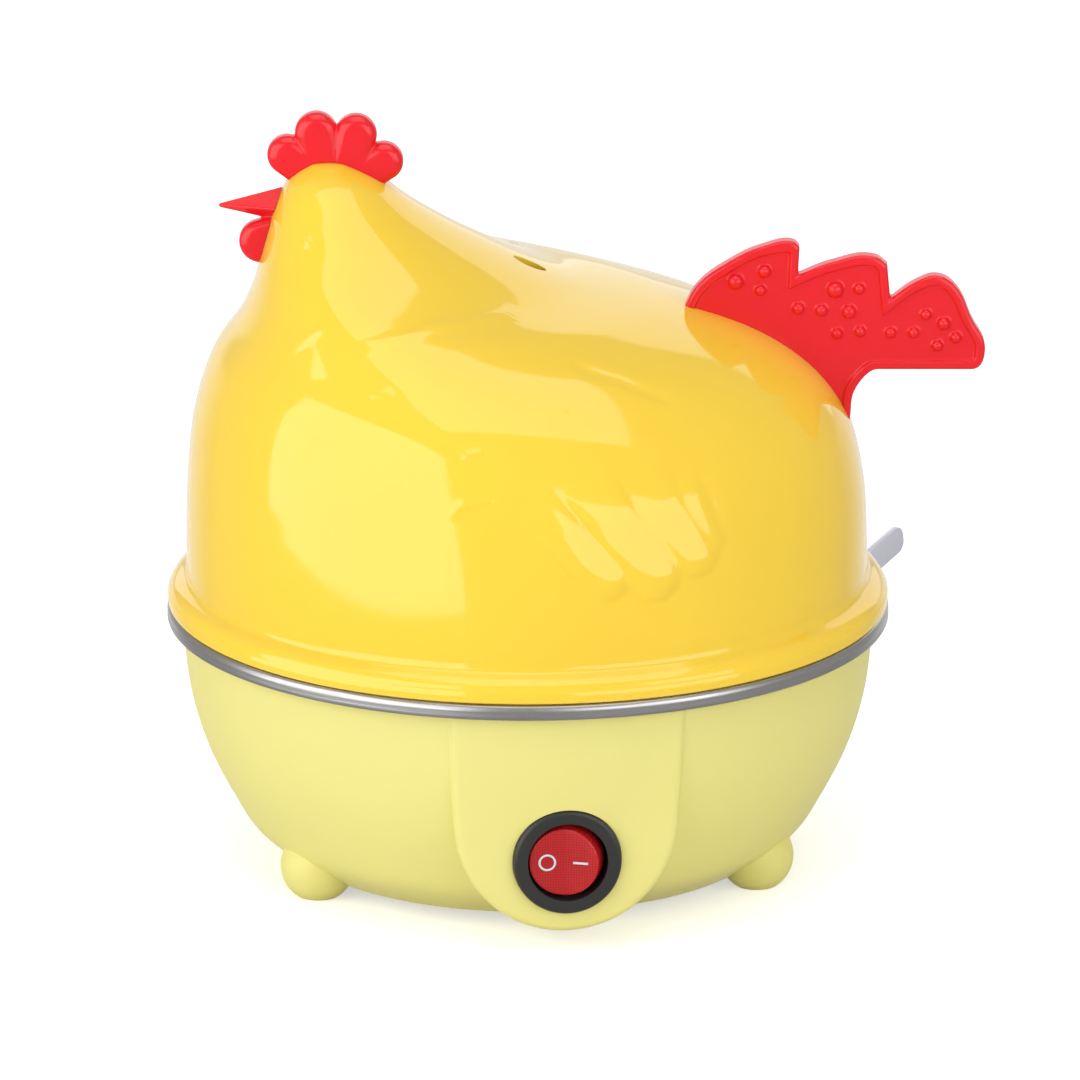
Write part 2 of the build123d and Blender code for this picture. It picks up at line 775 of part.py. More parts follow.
def make_relief():
    cone_start = relief_wall_radius - relief_root
    taper = Cone(relief_base_radius, relief_tip_radius, relief_end_radius - cone_start,
                 align=(Align.CENTER, Align.CENTER, Align.MIN))
    way = relief_way()
    outside = Plane(origin=relief_point(cone_start), z_dir=(way[0], way[1], 0)) * taper
    outside -= bowl_form(-tube_gap, bowl_height)
    neck = rod(relief_neck_radius, relief_point(relief_inner_radius), relief_point(relief_end_radius - 1))
    collar_end = relief_inner_radius + relief_collar_thickness
    collar = rod(relief_collar_radius, relief_point(relief_inner_radius), relief_point(collar_end))
    return outside + neck + collar


def turned(x, y, z):
    """A point of the base, turned with it."""
    angle = math.radians(base_turn)
    return (x * math.cos(angle) - y * math.sin(angle), x * math.sin(angle) + y * math.cos(angle), z)


# Lead: from the strain relief down to the table and on to the coil
coil_outer = coil_mean_radius + coil_turns_per_layer * coil_pitch / 2
coil_inner = coil_mean_radius - coil_turns_per_layer * coil_pitch / 2
coil_level = tie_thickness + tie_gap + cord_radius
coil_start = (coil_centre[0] + coil_outer, coil_centre[1] - 2 * cord_radius, coil_level)
lead_exit = turned(*relief_point(relief_end_radius))
lead_points = [
    lead_exit,
    turned(*relief_point(relief_end_radius + 10)),
    (coil_start[0] - 5.5, rim_radius + 9.1, relief_height - 2.2),
    (coil_start[0] - 1.5, rim_radius + 18.9, coil_level + 2.05),
    (coil_start[0], coil_start[1] - 8.5, coil_level),
    coil_start,
]


def coil_place(turns):
    """The middle of the cord after a number of turns, and the way it runs."""
    climb_end = coil_turns_per_layer + 0.5
    if turns <= coil_turns_per_layer:
        radius, rate = coil_outer - coil_pitch * turns, -coil_pitch
        height, lift = coil_level, 0.0
    elif turns < climb_end:
        share = (turns - coil_turns_per_layer) / 0.5
        radius = coil_inner - coil_pitch * math.sin(math.pi * share) / (2 * math.pi)
        rate = -coil_pitch * math.cos(math.pi * share)
        height = coil_level + coil_pitch * (1 - math.cos(math.pi * share)) / 2
        lift = coil_pitch * math.pi * math.sin(math.pi * share)
    else:
        radius, rate = coil_inner + coil_pitch * (turns - climb_end), coil_pitch
        height, lift = coil_level + coil_pitch, 0.0
    angle = 2 * math.pi * turns
    place = Vector(
        coil_centre[0] + radius * math.cos(angle),
        coil_centre[1] + radius * math.sin(angle),
        height,
    )
    way = Vector(
        rate * math.cos(angle) - 2 * math.pi * radius * math.sin(angle),
        rate * math.sin(angle) + 2 * math.pi * radius * math.cos(angle),
        lift,
    )
    return place, way.normalized()


def biarc(place, way, next_place, next_way):
    """Two tangent arcs from one point and direction to the next."""
    chord = next_place - place
    both = way + next_way
    spread = 2 * (1 - way.dot(next_way))
    along = chord.dot(both)
    reach = (math.sqrt(along**2 + spread * chord.dot(chord)) - along) / spread
    middle = (place + next_place + (way - next_way) * reach) * 0.5
    first = Edge.make_tangent_arc(place, way, middle)
    second = Edge.make_tangent_arc(middle, first % 1, next_place)
    return [first, second]


def make_coil():
    turns = 2 * coil_turns_per_layer + 0.5
    spans = round(turns * 4)
    joints = [coil_place(turns * i / spans) for i in range(spans + 1)]
    straight = 2 * cord_radius
    # The ends leave along the circle's tangent for one diameter
    first_place = joints[0][0]
    joints[0] = (first_place, Vector(0, 1, 0))
    last_place = joints[-1][0]
    joints[-1] = (last_place, Vector(0, -1, 0))
    edges = [Edge.make_line(first_place - joints[0][1] * straight, first_place)]
    for (place, way), (next_place, next_way) in zip(joints, joints[1:]):
        edges += biarc(place, way, next_place, next_way)
    coil_end = last_place + joints[-1][1] * straight
    edges.append(Edge.make_line(last_place, coil_end))
    path = Wire(edges)
    samples = []
    walked = 0.0
    for edge in edges:
        for step in range(12):
            samples.append((walked + edge.length * step / 12, edge @ (step / 12)))
        walked += edge.length
    least = min(
        (a[1] - b[1]).length - 2 * cord_radius
        for i, a in enumerate(samples)
        for b in samples[i + 1:]
        if b[0] - a[0] > 8 * cord_radius
    )
    section = Plane(origin=edges[0] @ 0, z_dir=(0, 1, 0)) * Circle(cord_radius)
    coil = sweep(section, path=path)
    print("coil length", round(path.length, 1), "least gap", round(least, 2),
          "volume share", round(coil.volume / (math.pi * cord_radius**2 * path.length), 4))
    return coil, coil_end


def make_tie():
    reversal = coil_pitch / (2 * math.pi)
    inside = coil_inner - reversal - cord_radius - 3 * tie_gap
    outside = coil_outer + cord_radius + tie_gap
    low = coil_level - cord_radius - tie_gap
    high = coil_level + coil_pitch + cord_radius + tie_gap
    length = outside - inside
    height = high - low
    up = (Align.CENTER, Align.CENTER, Align.CENTER)
    band = Box(length + 2 * tie_thickness, tie_width, height + 2 * tie_thickness, align=up)
    band -= Box(length, tie_width, height, align=up)
    place = Pos((inside + outside) / 2, 0, (low + high) / 2) * band
    return Pos(coil_centre[0], coil_centre[1], 0) * Rot(0, 0, tie_angle) * place


def plug_plane():
    heading = math.radians(plug_heading)
    tilt = math.radians(plug_tilt)
    way = (math.cos(tilt) * math.cos(heading), math.cos(tilt) * math.sin(heading), math.sin(tilt))
    side = (math.sin(heading), -math.cos(heading), 0)
    return Plane(origin=plug_back, x_dir=side, z_dir=way)


def make_plug():
    waist = plug_length * 0.42
    sections = [
        (0, plug_back_width, plug_back_thickness),
        (waist, plug_front_width - 2, plug_front_thickness - 1),
        (plug_length, plug_front_width, plug_front_thickness),
    ]
    outlines = [
        Pos(0, 0, along) * RectangleRounded(width, thickness, thickness * 0.42)
        for along, width, thickness in sections
    ]
    return plug_plane() * loft(outlines, ruled=True)


def blade(side):
    flat = Box(blade_thickness, blade_width, blade_length, align=(Align.CENTER, Align.CENTER, Align.MIN))
    return plug_plane() * Pos(side * blade_pitch / 2, 0, plug_length) * flat


def place_base(shape):
    return Rot(0, 0, base_turn) * shape


def place_lid(shape):
    return Pos(0, 0, lid_seat) * shape


def single(shape):
    """The one solid of a shape."""
    solids = shape.solids()
    return solids[0] if len(solids) == 1 else Compound(list(solids))


seat_form = lid_form(-trim_gap)
heater, heater_pins, pin_tips = make_heater()
thermostat, thermostat_tips = make_thermostat()
coil, coil_end = make_coil()
plug_way = plug_plane().z_dir
tail_entry = tuple(Vector(*plug_back) - plug_way * plug_run)
tail_points = [
    tuple(coil_end),
    (coil_end.X, coil_end.Y - 9.0, coil_end.Z),
    (coil_end.X + 3.9, rim_radius + 12.9, coil_end.Z + 1.55),
    (coil_end.X + 16.5, rim_radius + 1.5, coil_end.Z + 3.55),
    (coil_end.X + 33.3, rim_radius - 1.3, coil_end.Z + 5.15),
    tail_entry,
    plug_back,
]

relief_start = relief_point(relief_inner_radius)
relief_side = (-relief_way()[1] * core_spacing, relief_way()[0] * core_spacing)
relief_run = (wire_run * relief_way()[0], wire_run * relief_way()[1])
live_start = (relief_start[0] + relief_side[0], relief_start[1] + relief_side[1], relief_height)
neutral_start = (relief_start[0] - relief_side[0], relief_start[1] - relief_side[1], relief_height)
wire_floor = foot_drop + bowl_wall + 2 * wire_radius


def floor_place(across, along, rise):
    """A place over the bowl's floor, in shares of the floor's radius."""
    return (across * bowl_floor_radius, along * bowl_floor_radius, wire_floor + rise)


fuse_start = floor_place(0.549, 0.157, 2)
fuse_end = (fuse_start[0], fuse_start[1] - fuse_length, fuse_start[2])

wires = {
    "wire_live": [
        live_start,
        (live_start[0] - relief_run[0], live_start[1] - relief_run[1], relief_height),
        floor_place(0.392, 0.53, 1),
        floor_place(-0.078, 0.353, 0),
        floor_place(-0.333, 0.078, 0),
        floor_place(-0.235, -0.275, 0),
        (-terminal_x - 0.5, connector_end + 2 * wire_run, wire_floor + 1.6),
        (-terminal_x, connector_end + wire_run, switch_height),
        (-terminal_x, connector_end, switch_height),
    ],
    "wire_switched": [
        (terminal_x, connector_end, switch_height),
        (terminal_x, connector_end + wire_run, switch_height),
        (thermostat_tips[1][0], -0.314 * bowl_floor_radius, wire_floor + 2),
        (thermostat_tips[1][0], thermostat_tips[1][1], wire_floor + 1),
        thermostat_tips[1],
    ],
    "wire_heater": [
        thermostat_tips[0],
        (thermostat_tips[0][0], thermostat_tips[0][1], wire_floor + 5.6),
        (pin_tips[1][0], pin_tips[1][1], wire_floor + 4.6),
        pin_tips[1],
    ],
    "wire_neutral": [
        neutral_start,
        (neutral_start[0] - relief_run[0], neutral_start[1] - relief_run[1], relief_height),
        (fuse_start[0], fuse_start[1] + wire_run, fuse_start[2]),
        fuse_start,
    ],
    "wire_return": [
        fuse_end,
        (fuse_end[0], fuse_end[1] - wire_run, fuse_end[2]),
        floor_place(0.392, -0.51, 1),
        (pin_tips[0][0], pin_tips[0][1], wire_floor + 1),
        pin_tips[0],
    ],
}

nodes = {
    "hen_lid": place_lid(make_lid()),
    "comb": place_lid(make_comb(seat_form)),
    "beak": place_lid(make_beak(seat_form)),
    "tail": place_lid(make_tail(seat_form)),
    "trim_screws": place_lid(Compound([trim_screw_solid(*place) for place in screw_places.values()])),
    "egg_rack": make_rack(),
    "heating_pan": make_pan(),
    "base_bowl": place_base(make_bowl()),
    "heat_spreader": place_base(make_spreader()),
    "heater_tube": place_base(heater),
    "heater_pins": place_base(heater_pins),
    "thermostat": place_base(thermostat),
    "thermostat_bracket": place_base(make_bracket()),
    "bracket_screws": place_base(Compound([bracket_screw(side * bracket_screw_place) for side in (-1, 1)])),
    "thermal_fuse": place_base(rod(fuse_radius, fuse_start, fuse_end)),
    "pan_studs": place_base(Compound([pan_stud(x, y) for x, y in foot_places])),
    "base_screws": place_base(Compound([base_screw(x, y) for x, y in foot_places])),
    "switch_housing": place_base(make_housing()),
    "switch_rocker": place_base(make_rocker()),
    "switch_terminals": place_base(Compound([terminal(x) for x in (-terminal_x, terminal_x)])),
    "spade_connectors": place_base(Compound([spade(x) for x in (-terminal_x, terminal_x)])),
    "strain_relief": place_base(make_relief()),
    "cord_lead": tube("cord_lead", lead_points, cord_radius),
    "cord_coil": coil,
    "coil_tie": make_tie(),
    "cord_tail": tube("cord_tail", tail_points, cord_radius),
    "plug": make_plug(),
    "plug_blades": Compound([blade(side) for side in (-1, 1)]),
}
for name, points in wires.items():
    nodes[name] = place_base(tube(name, points, wire_radius))

os.makedirs("parts", exist_ok=True)
for name, shape in nodes.items():
    export_step(Pos(object_shift, 0, 0) * single(shape), f"parts/{name}.step")
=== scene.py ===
import json
import math

import bpy
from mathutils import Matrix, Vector


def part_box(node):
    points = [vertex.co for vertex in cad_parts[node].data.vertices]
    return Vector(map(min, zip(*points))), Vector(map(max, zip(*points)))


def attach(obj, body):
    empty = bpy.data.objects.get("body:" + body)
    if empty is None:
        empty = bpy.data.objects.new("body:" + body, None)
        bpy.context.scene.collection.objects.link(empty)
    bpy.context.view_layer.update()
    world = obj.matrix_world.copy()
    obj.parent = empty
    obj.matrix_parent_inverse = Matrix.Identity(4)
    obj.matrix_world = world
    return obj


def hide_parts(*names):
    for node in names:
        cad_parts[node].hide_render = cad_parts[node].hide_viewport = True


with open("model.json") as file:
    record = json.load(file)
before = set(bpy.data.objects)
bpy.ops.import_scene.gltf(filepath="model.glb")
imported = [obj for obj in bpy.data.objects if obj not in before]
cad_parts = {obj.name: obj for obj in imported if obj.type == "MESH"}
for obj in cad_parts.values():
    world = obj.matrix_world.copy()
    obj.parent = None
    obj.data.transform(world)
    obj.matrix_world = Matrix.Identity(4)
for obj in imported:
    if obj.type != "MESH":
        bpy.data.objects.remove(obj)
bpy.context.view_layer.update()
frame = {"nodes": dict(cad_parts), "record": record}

# Everything is placed from the upright axis of the round base, in millimetres
MM = 0.001
pan_low, pan_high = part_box("heating_pan")
axis_x = (pan_low[0] + pan_high[0]) / 2
lid_rise = 96.6
lid_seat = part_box("hen_lid")[1][2] / MM - lid_rise
base_turn = math.radians(7.0)


def at(x, y, z):
    """A place given from the base axis, as a point of the frame."""
    return Vector((axis_x + x * MM, y * MM, z * MM))


def deselect():
    if bpy.context.object and bpy.context.object.mode != "OBJECT":
        bpy.ops.object.mode_set(mode="OBJECT")
    bpy.ops.object.select_all(action="DESELECT")


def select_only(piece):
    deselect()
    piece.select_set(True)
    bpy.context.view_layer.objects.active = piece


def keep_place():
    """Puts the active piece's place, turn and size into its points."""
    bpy.ops.object.transform_apply(location=True, rotation=True, scale=True)


def edit_all():
    """Opens the active piece for editing, all of it selected."""
    bpy.ops.object.mode_set(mode="EDIT")
    bpy.ops.mesh.select_all(action="SELECT")


def clear_selection():
    """Leaves nothing of the active piece selected."""
    bpy.ops.object.mode_set(mode="EDIT")
    bpy.ops.mesh.select_all(action="DESELECT")
    bpy.ops.object.mode_set(mode="OBJECT")


def close_edit():
    """Turns all faces of the open piece outward and ends editing."""
    bpy.ops.mesh.select_all(action="SELECT")
    bpy.ops.mesh.normals_make_consistent(inside=False)
    bpy.ops.object.mode_set(mode="OBJECT")


# Camera: at the photograph's height and distance, looking along +Y
camera_eye = at(9.7, -2389.5, 795.1)
camera_aim = at(2.6, 0, 69.8)
camera_lens = 387.8


def add_camera():
    deselect()
    bpy.ops.object.camera_add(location=camera_eye)
    camera = bpy.context.object
    camera.name = "photo_camera"
    camera.rotation_euler = (camera_aim - camera_eye).to_track_quat("-Z", "Y").to_euler()
    camera.data.lens = camera_lens
    camera.data.sensor_width = 36.0
    camera.data.clip_end = 20.0
    bpy.context.scene.camera = camera


add_camera()
bpy.context.scene.view_settings.view_transform = "Standard"


# Shared surface effects
def effect_group(name, values):
    """An empty node group: place, two colours and named values in; colour, roughness and height out."""
    group = bpy.data.node_groups.new(name, "ShaderNodeTree")
    inputs = [("Vector", "NodeSocketVector"), ("Colour", "NodeSocketColor"), ("Shade", "NodeSocketColor")]
    inputs += [(label, "NodeSocketFloat") for label in values]
    for label, kind in inputs:
        socket = group.interface.new_socket(name=label, in_out="INPUT", socket_type=kind)
        if label in values:
            socket.default_value = values[label]
    floats = [(label, "NodeSocketFloat") for label in ("Roughness", "Height")]
    for label, kind in [("Colour", "NodeSocketColor")] + floats:
        group.interface.new_socket(name=label, in_out="OUTPUT", socket_type=kind)
    entry = group.nodes.new("NodeGroupInput")
    return group, entry.outputs


def end_effect(group, given, tint, swing, height, ends=("Colour", "Shade")):
    """Mixes the two colours by tint, spreads the roughness by swing, and hands both on with the height."""
    leave = group.nodes.new("NodeGroupOutput")
    mix = group.nodes.new("ShaderNodeMix")
    mix.data_type = "RGBA"
    group.links.new(tint, mix.inputs["Factor"])
    group.links.new(given[ends[0]], mix.inputs["A"])
    group.links.new(given[ends[1]], mix.inputs["B"])
    spread = math_node(group, "MULTIPLY", swing, given["Roughness Spread"])
    rough = math_node(group, "ADD", spread, given["Roughness"])
    group.links.new(mix.outputs["Result"], leave.inputs["Colour"])
    group.links.new(rough, leave.inputs["Roughness"])
    group.links.new(height, leave.inputs["Height"])
    return group


def math_node(tree, operation, first, second):
    """A math node between two values, each a socket or a number."""
    node = tree.nodes.new("ShaderNodeMath")
    node.operation = operation
    for socket, value in zip(node.inputs, (first, second)):
        if isinstance(value, (int, float)):
            socket.default_value = value
        else:
            tree.links.new(value, socket)
    return node.outputs[0]


def noise_node(tree, vector, scale, detail):
    node = tree.nodes.new("ShaderNodeTexNoise")
    tree.links.new(vector, node.inputs["Vector"])
    if isinstance(scale, (int, float)):
        node.inputs["Scale"].default_value = scale
    else:
        tree.links.new(scale, node.inputs["Scale"])
    node.inputs["Detail"].default_value = detail
    return node.outputs["Fac"]


def split_node(tree, vector):
    """The x, y and z of a vector."""
    node = tree.nodes.new("ShaderNodeSeparateXYZ")
    tree.links.new(vector, node.inputs[0])
    return node.outputs


def fade_node(tree, value, span):
    """A value carried over from one range to another: from low, from high, to low, to high."""
    node = tree.nodes.new("ShaderNodeMapRange")
    for label, number in zip(("From Min", "From Max", "To Min", "To Max"), span):
        node.inputs[label].default_value = number
    tree.links.new(value, node.inputs["Value"])
    return node.outputs["Result"]


def make_moulded_skin():
    """Plastic skin: slow drift of colour and gloss, and a fine grain for the bump."""
    group, given = effect_group("moulded_skin", {
        "Drift Scale": 25.0, "Grain Scale": 1200.0, "Roughness": 0.3, "Roughness Spread": 0.05,
    })
    drift = noise_node(group, given["Vector"], given["Drift Scale"], 3.0)
    grain = noise_node(group, given["Vector"], given["Grain Scale"], 4.0)
    return end_effect(group, given, drift, math_node(group, "SUBTRACT", grain, 0.5), grain)


def make_brushed_rings():
    """Brush lines that run round the base axis, and slow patches along them."""
    group, given = effect_group("brushed_rings", {
        "Line Scale": 2600.0, "Patch Scale": 5.0, "Roughness": 0.28, "Roughness Spread": 0.2,
    })
    x, y, z = split_node(group, given["Vector"])
    angle = math_node(group, "ARCTAN2", y, x)
    squares = [math_node(group, "MULTIPLY", way, way) for way in (x, y)]
    radius = math_node(group, "SQRT", math_node(group, "ADD", *squares), 0.0)
    lines = group.nodes.new("ShaderNodeCombineXYZ")
    scales = [(angle, "Patch Scale"), (z, "Line Scale"), (radius, "Line Scale")]
    for socket, (way, scale) in zip(lines.inputs, scales):
        group.links.new(math_node(group, "MULTIPLY", way, given[scale]), socket)
    brush = noise_node(group, lines.outputs[0], 1.0, 5.0)
    return end_effect(group, given, brush, math_node(group, "SUBTRACT", brush, 0.5), brush)


def make_prism_grid():
    """Small pyramids in rows, as on a clear lamp window, with painted shade: the darker colour lies in the
    grooves between them.
    """
    group, given = effect_group("prism_grid", {"Rows": 1800.0, "Roughness": 0.15, "Roughness Spread": 0.1})
    x, y, z = split_node(group, given["Vector"])
    slopes = []
    for way in (x, z):
        rows = math_node(group, "MULTIPLY", way, given["Rows"])
        slopes.append(math_node(group, "PINGPONG", rows, 0.5))
    height = math_node(group, "ADD", *slopes)
    # Painted shade: the darker colour at the grooves, the lighter one on the pyramids' tops
    return end_effect(group, given, height, height, height, ("Shade", "Colour"))


moulded_skin = make_moulded_skin()
brushed_rings = make_brushed_rings()
prism_grid = make_prism_grid()
bump_depth = 0.0002


def surface_material(name, group, settings, bump, **sockets):
    """A material from one shared effect, with its own values and constant shader sockets."""
    material = bpy.data.materials.new(name)
    material.use_nodes = True
    tree = material.node_tree
    shader = tree.nodes["Principled BSDF"]
    place = tree.nodes.new("ShaderNodeTexCoord")
    centre = tree.nodes.new("ShaderNodeMapping")
    centre.inputs["Location"].default_value = (-axis_x, 0, 0)
    tree.links.new(place.outputs["Object"], centre.inputs["Vector"])
    effect = tree.nodes.new("ShaderNodeGroup")
    effect.node_tree = group
    tree.links.new(centre.outputs["Vector"], effect.inputs["Vector"])
    for label, value in settings.items():
        effect.inputs[label].default_value = value
    tree.links.new(effect.outputs["Colour"], shader.inputs["Base Color"])
    tree.links.new(effect.outputs["Roughness"], shader.inputs["Roughness"])
    relief = tree.nodes.new("ShaderNodeBump")
    relief.inputs["Strength"].default_value = bump
    relief.inputs["Distance"].default_value = bump_depth
    tree.links.new(effect.outputs["Height"], relief.inputs["Height"])
    tree.links.new(relief.outputs["Normal"], shader.inputs["Normal"])
    for label, value in sockets.items():
        shader.inputs[label.replace("_", " ")].default_value = value
    return material


def plastic(name, colour, shade, roughness, spread=0.05, grain=1200.0, bump=0.05, **sockets):
    settings = {
        "Colour": (*colour, 1), "Shade": (*shade, 1), "Roughness": roughness,
        "Roughness Spread": spread, "Grain Scale": grain,
    }
    return surface_material(name, moulded_skin, settings, bump, **sockets)


def metal(name, colour, shade, roughness, spread=0.2, lines=2600.0, bump=0.1, **sockets):
    settings = {
        "Colour": (*colour, 1), "Shade": (*shade, 1), "Roughness": roughness,
        "Roughness Spread": spread, "Line Scale": lines,
    }
    return surface_material(name, brushed_rings, settings, bump, Metallic=1.0, **sockets)


def prisms(name, colour, shade, roughness, bump, **sockets):
    settings = {"Colour": (*colour, 1), "Shade": (*shade, 1), "Roughness": roughness}
    return surface_material(name, prism_grid, settings, bump, **sockets)


finishes = {
    "lid_yellow": plastic("lid_yellow", (0.96, 0.66, 0.05), (0.93, 0.62, 0.045), 0.09, 0.03, bump=0.02,
                          Coat_Weight=0.3, Coat_Roughness=0.04),
    "base_yellow": plastic("base_yellow", (0.85, 0.78, 0.26), (0.82, 0.75, 0.235), 0.46, 0.12, 1800.0, 0.12),
    "trim_red": plastic("trim_red", (0.86, 0.012, 0.022), (0.80, 0.01, 0.018), 0.2, 0.06, bump=0.04),
    "rack_white": plastic("rack_white", (0.84, 0.83, 0.79), (0.80, 0.79, 0.74), 0.4, 0.1),
    "pan_steel": metal("pan_steel", (0.66, 0.65, 0.64), (0.36, 0.35, 0.34), 0.3),
    "plain_steel": metal("plain_steel", (0.60, 0.60, 0.61), (0.45, 0.45, 0.46), 0.35),
    "aluminium": metal("aluminium", (0.74, 0.74, 0.75), (0.62, 0.62, 0.63), 0.4),
    "switch_black": plastic("switch_black", (0.022, 0.022, 0.021), (0.032, 0.032, 0.03), 0.38, 0.1, 900.0,
                            0.15),
    # The rocker's second, darker red is painted shade in the grooves of its prism grid
    "rocker_red": prisms("rocker_red", (0.62, 0.02, 0.022), (0.38, 0.008, 0.01), 0.16, 0.25,
                         Subsurface_Weight=0.7, Subsurface_Radius=(1.0, 0.08, 0.06), Subsurface_Scale=0.004),
    "brass": metal("brass", (0.80, 0.58, 0.25), (0.65, 0.45, 0.18), 0.35),
    "cord_white": plastic("cord_white", (0.70, 0.71, 0.77), (0.66, 0.67, 0.73), 0.45, 0.1),
    "plug_white": plastic("plug_white", (0.72, 0.73, 0.79), (0.68, 0.69, 0.75), 0.4, 0.1),
    "tie_grey": plastic("tie_grey", (0.30, 0.31, 0.33), (0.24, 0.25, 0.27), 0.55, 0.1),
    "blade_nickel": plastic("blade_nickel", (0.80, 0.80, 0.90), (0.74, 0.74, 0.84), 0.3, 0.1, Metallic=0.4),
    "wire_brown": plastic("wire_brown", (0.20, 0.08, 0.03), (0.16, 0.06, 0.02), 0.45, 0.1),
    "wire_blue": plastic("wire_blue", (0.04, 0.10, 0.45), (0.03, 0.08, 0.38), 0.45, 0.1),
}


def finish_as(piece, slot):
    """Gives a new piece the finish of one of the record's slots."""
    piece.data.materials.clear()
    piece.data.materials.append(finishes[slot])


def dress_cad_nodes():
    """Every CAD node that stays in sight gets its finish."""
    for subpart in frame["record"]["subparts"]:
        node = frame["nodes"][subpart["node"]]
        for slot in node.material_slots:
            slot.material = finishes[subpart["material_slot"]]


dress_cad_nodes()


# Lid: each row has a point on the breast line, a point on the back line (x from
# the axis, height above the lid's seat), a half width and how it narrows to the back
lid_rows = [
    (-73.0, 0.0, 73.0, 0.0, 73.0, 0.0),
    (-73.3, 13.0, 72.8, 13.0, 73.0, 0.0),
    (-72.9, 28.0, 72.0, 27.0, 71.8, 0.01),
    (-71.4, 42.0, 68.6, 40.5, 69.0, 0.04),
    (-67.6, 54.0, 60.8, 51.6, 63.5, 0.08),
    (-62.0, 62.3, 48.0, 60.2, 56.0, 0.12),
    (-58.8, 69.2, 30.0, 66.2, 46.5, 0.18),
    (-57.0, 75.6, 9.0, 70.8, 36.5, 0.22),
    (-55.4, 81.4, -9.0, 78.6, 27.0, 0.18),
    (-53.6, 87.4, -22.6, 86.2, 19.8, 0.1),
    (-50.6, 93.4, -31.4, 93.0, 13.0, 0.05),
    (-46.4, 96.6, -38.4, 96.6, 5.4, 0.0),
]
lid_wall = 2.0
lid_around = 448
rows_between = [12, 22, 22, 20, 14, 12, 12, 10, 10, 10, 8]
flange_line = [
    (73.2, 6.4), (73.4, 5.9), (73.9, 5.5), (74.8, 5.1), (75.6, 4.6), (76.3, 4.0), (76.7, 3.4), (76.9, 2.9),
    (77.1, 2.6), (77.3, 2.3), (77.3, 1.2), (77.3, 0.3), (77.0, 0.0), (73.6, 0.0), (70.2, 0.0), (69.9, -0.3),
    (69.9, -2.2), (69.6, -2.5), (68.7, -2.5), (68.4, -2.2), (68.4, 0.0), (68.4, 2.2), (71.0, 2.6),
]
crown_steps = [(0.75, 0.25), (0.45, 0.42), (0.12, 0.5)]
flank_crowding = 0.25
lowest_row = 0.55
steam_hole = (0.4, 7.0, 4.4)
# Round the hole the wall is thicker inside: how far out and how much
steam_pad = (10.0, 1.8)
steam_level, steam_depth = 78, 30
# Copy of the lid's form for cutting: its room, points round it, and rings in all and for each row
seat_room = 0.1
seat_around, seat_rings, seat_density = 96, 48, 6

# Relief on both flanks: a line seen from the side, its half width and its height
feather_fade = 0.4
feathers = [
    ([(1.0, 41.5), (16.6, 24.8)], 4.4, 0.9),
    ([(11.6, 46.0), (26.6, 24.6)], 5.2, 1.0),
    ([(23.4, 46.0), (35.6, 28.0)], 4.6, 0.8),
    ([(32.4, 45.0), (38.4, 30.0)], 2.6, 0.5),
]
strokes = [
    ([(-46.5, 45.2), (-43.5, 49.9), (-39.1, 51.4)], 0.9, -0.3),
    ([(-29.3, 41.4), (-27.0, 43.2)], 1.1, -0.4),
    ([(-49.7, 64.9), (-46.3, 68.1), (-43.0, 70.6)], 1.0, 0.25),
    ([(-33.8, 68.8), (-20.6, 71.3), (-3.8, 71.0)], 1.2, 0.25),
    ([(10.7, 63.8), (19.6, 61.1), (29.5, 57.1)], 1.1, -0.25),
    ([(3.9, 57.5), (5.7, 57.8), (7.6, 57.5)], 1.7, 0.22),
    ([(-15.8, 38.5), (-13.5, 40.8), (-7.5, 41.6)], 1.0, 0.3),
    ([(-12.5, 50.5), (-9.7, 50.9)], 1.1, 0.25),
    ([(-32.3, 60.5), (-28.8, 60.9)], 1.1, 0.25),
    ([(-46.6, 84.5), (-46.4, 84.6)], 1.3, 0.4),
]


def between(start, start_rise, end, end_rise, share):
    """A value between two others, with the rise it has at each."""
    return (start * (1 + 2 * share) * (1 - share) ** 2 + start_rise * share * (1 - share) ** 2
            + end * share ** 2 * (3 - 2 * share) - end_rise * share ** 2 * (1 - share))


def row_at(place):
    """The lid's row at a place between the listed rows, smoothly joined."""
    low = min(int(place), len(lid_rows) - 2)
    share = place - low
    before, start = lid_rows[max(low - 1, 0)], lid_rows[low]
    end, after = lid_rows[low + 1], lid_rows[min(low + 2, len(lid_rows) - 1)]
    rows = zip(before, start, end, after)
    return [between(b, (c - a) / 2, c, (d - b) / 2, share) for a, b, c, d in rows]


def section(row, inset, turn):
    """A point of a row's section moved in by inset, at a turn round it."""
    front_x, front_z, back_x, back_z, half_width, narrowing = row
    length = math.hypot(back_x - front_x, back_z - front_z)
    way_x, way_z = (back_x - front_x) / length, (back_z - front_z) / length
    along = (length / 2 - inset) * math.cos(turn)
    across = (half_width - inset) * math.sin(turn) * (1 - narrowing * math.cos(turn))
    middle_x, middle_z = (front_x + back_x) / 2, (front_z + back_z) / 2
    return (middle_x + along * way_x, across, lid_seat + middle_z + along * way_z)


def flank_turns(count):
    """Turns round a section, closer together on the flanks."""
    steps = [2 * math.pi * i / count for i in range(count)]
    return [step + flank_crowding * math.sin(2 * step) for step in steps]


def crown_rings(inset, turns):
    """Small rings that close the head over its last row."""
    top = lid_rows[-1]
    middle_x = (top[0] + top[2]) / 2
    rings = []
    for share, rise in reversed(crown_steps):
        ring = []
        for turn in turns:
            x, y, z = section(top, inset, turn)
            ring.append((middle_x + share * (x - middle_x), share * y, z + rise - inset))
        rings.append(ring)
    return rings


def row_places():
    """Places of the lid's rings from the head down to the rim."""
    places = []
    for row in reversed(range(len(rows_between))):
        count = rows_between[row]
        places += [row + (count - i) / count for i in range(count)]
    return [place for place in places if place > lowest_row]


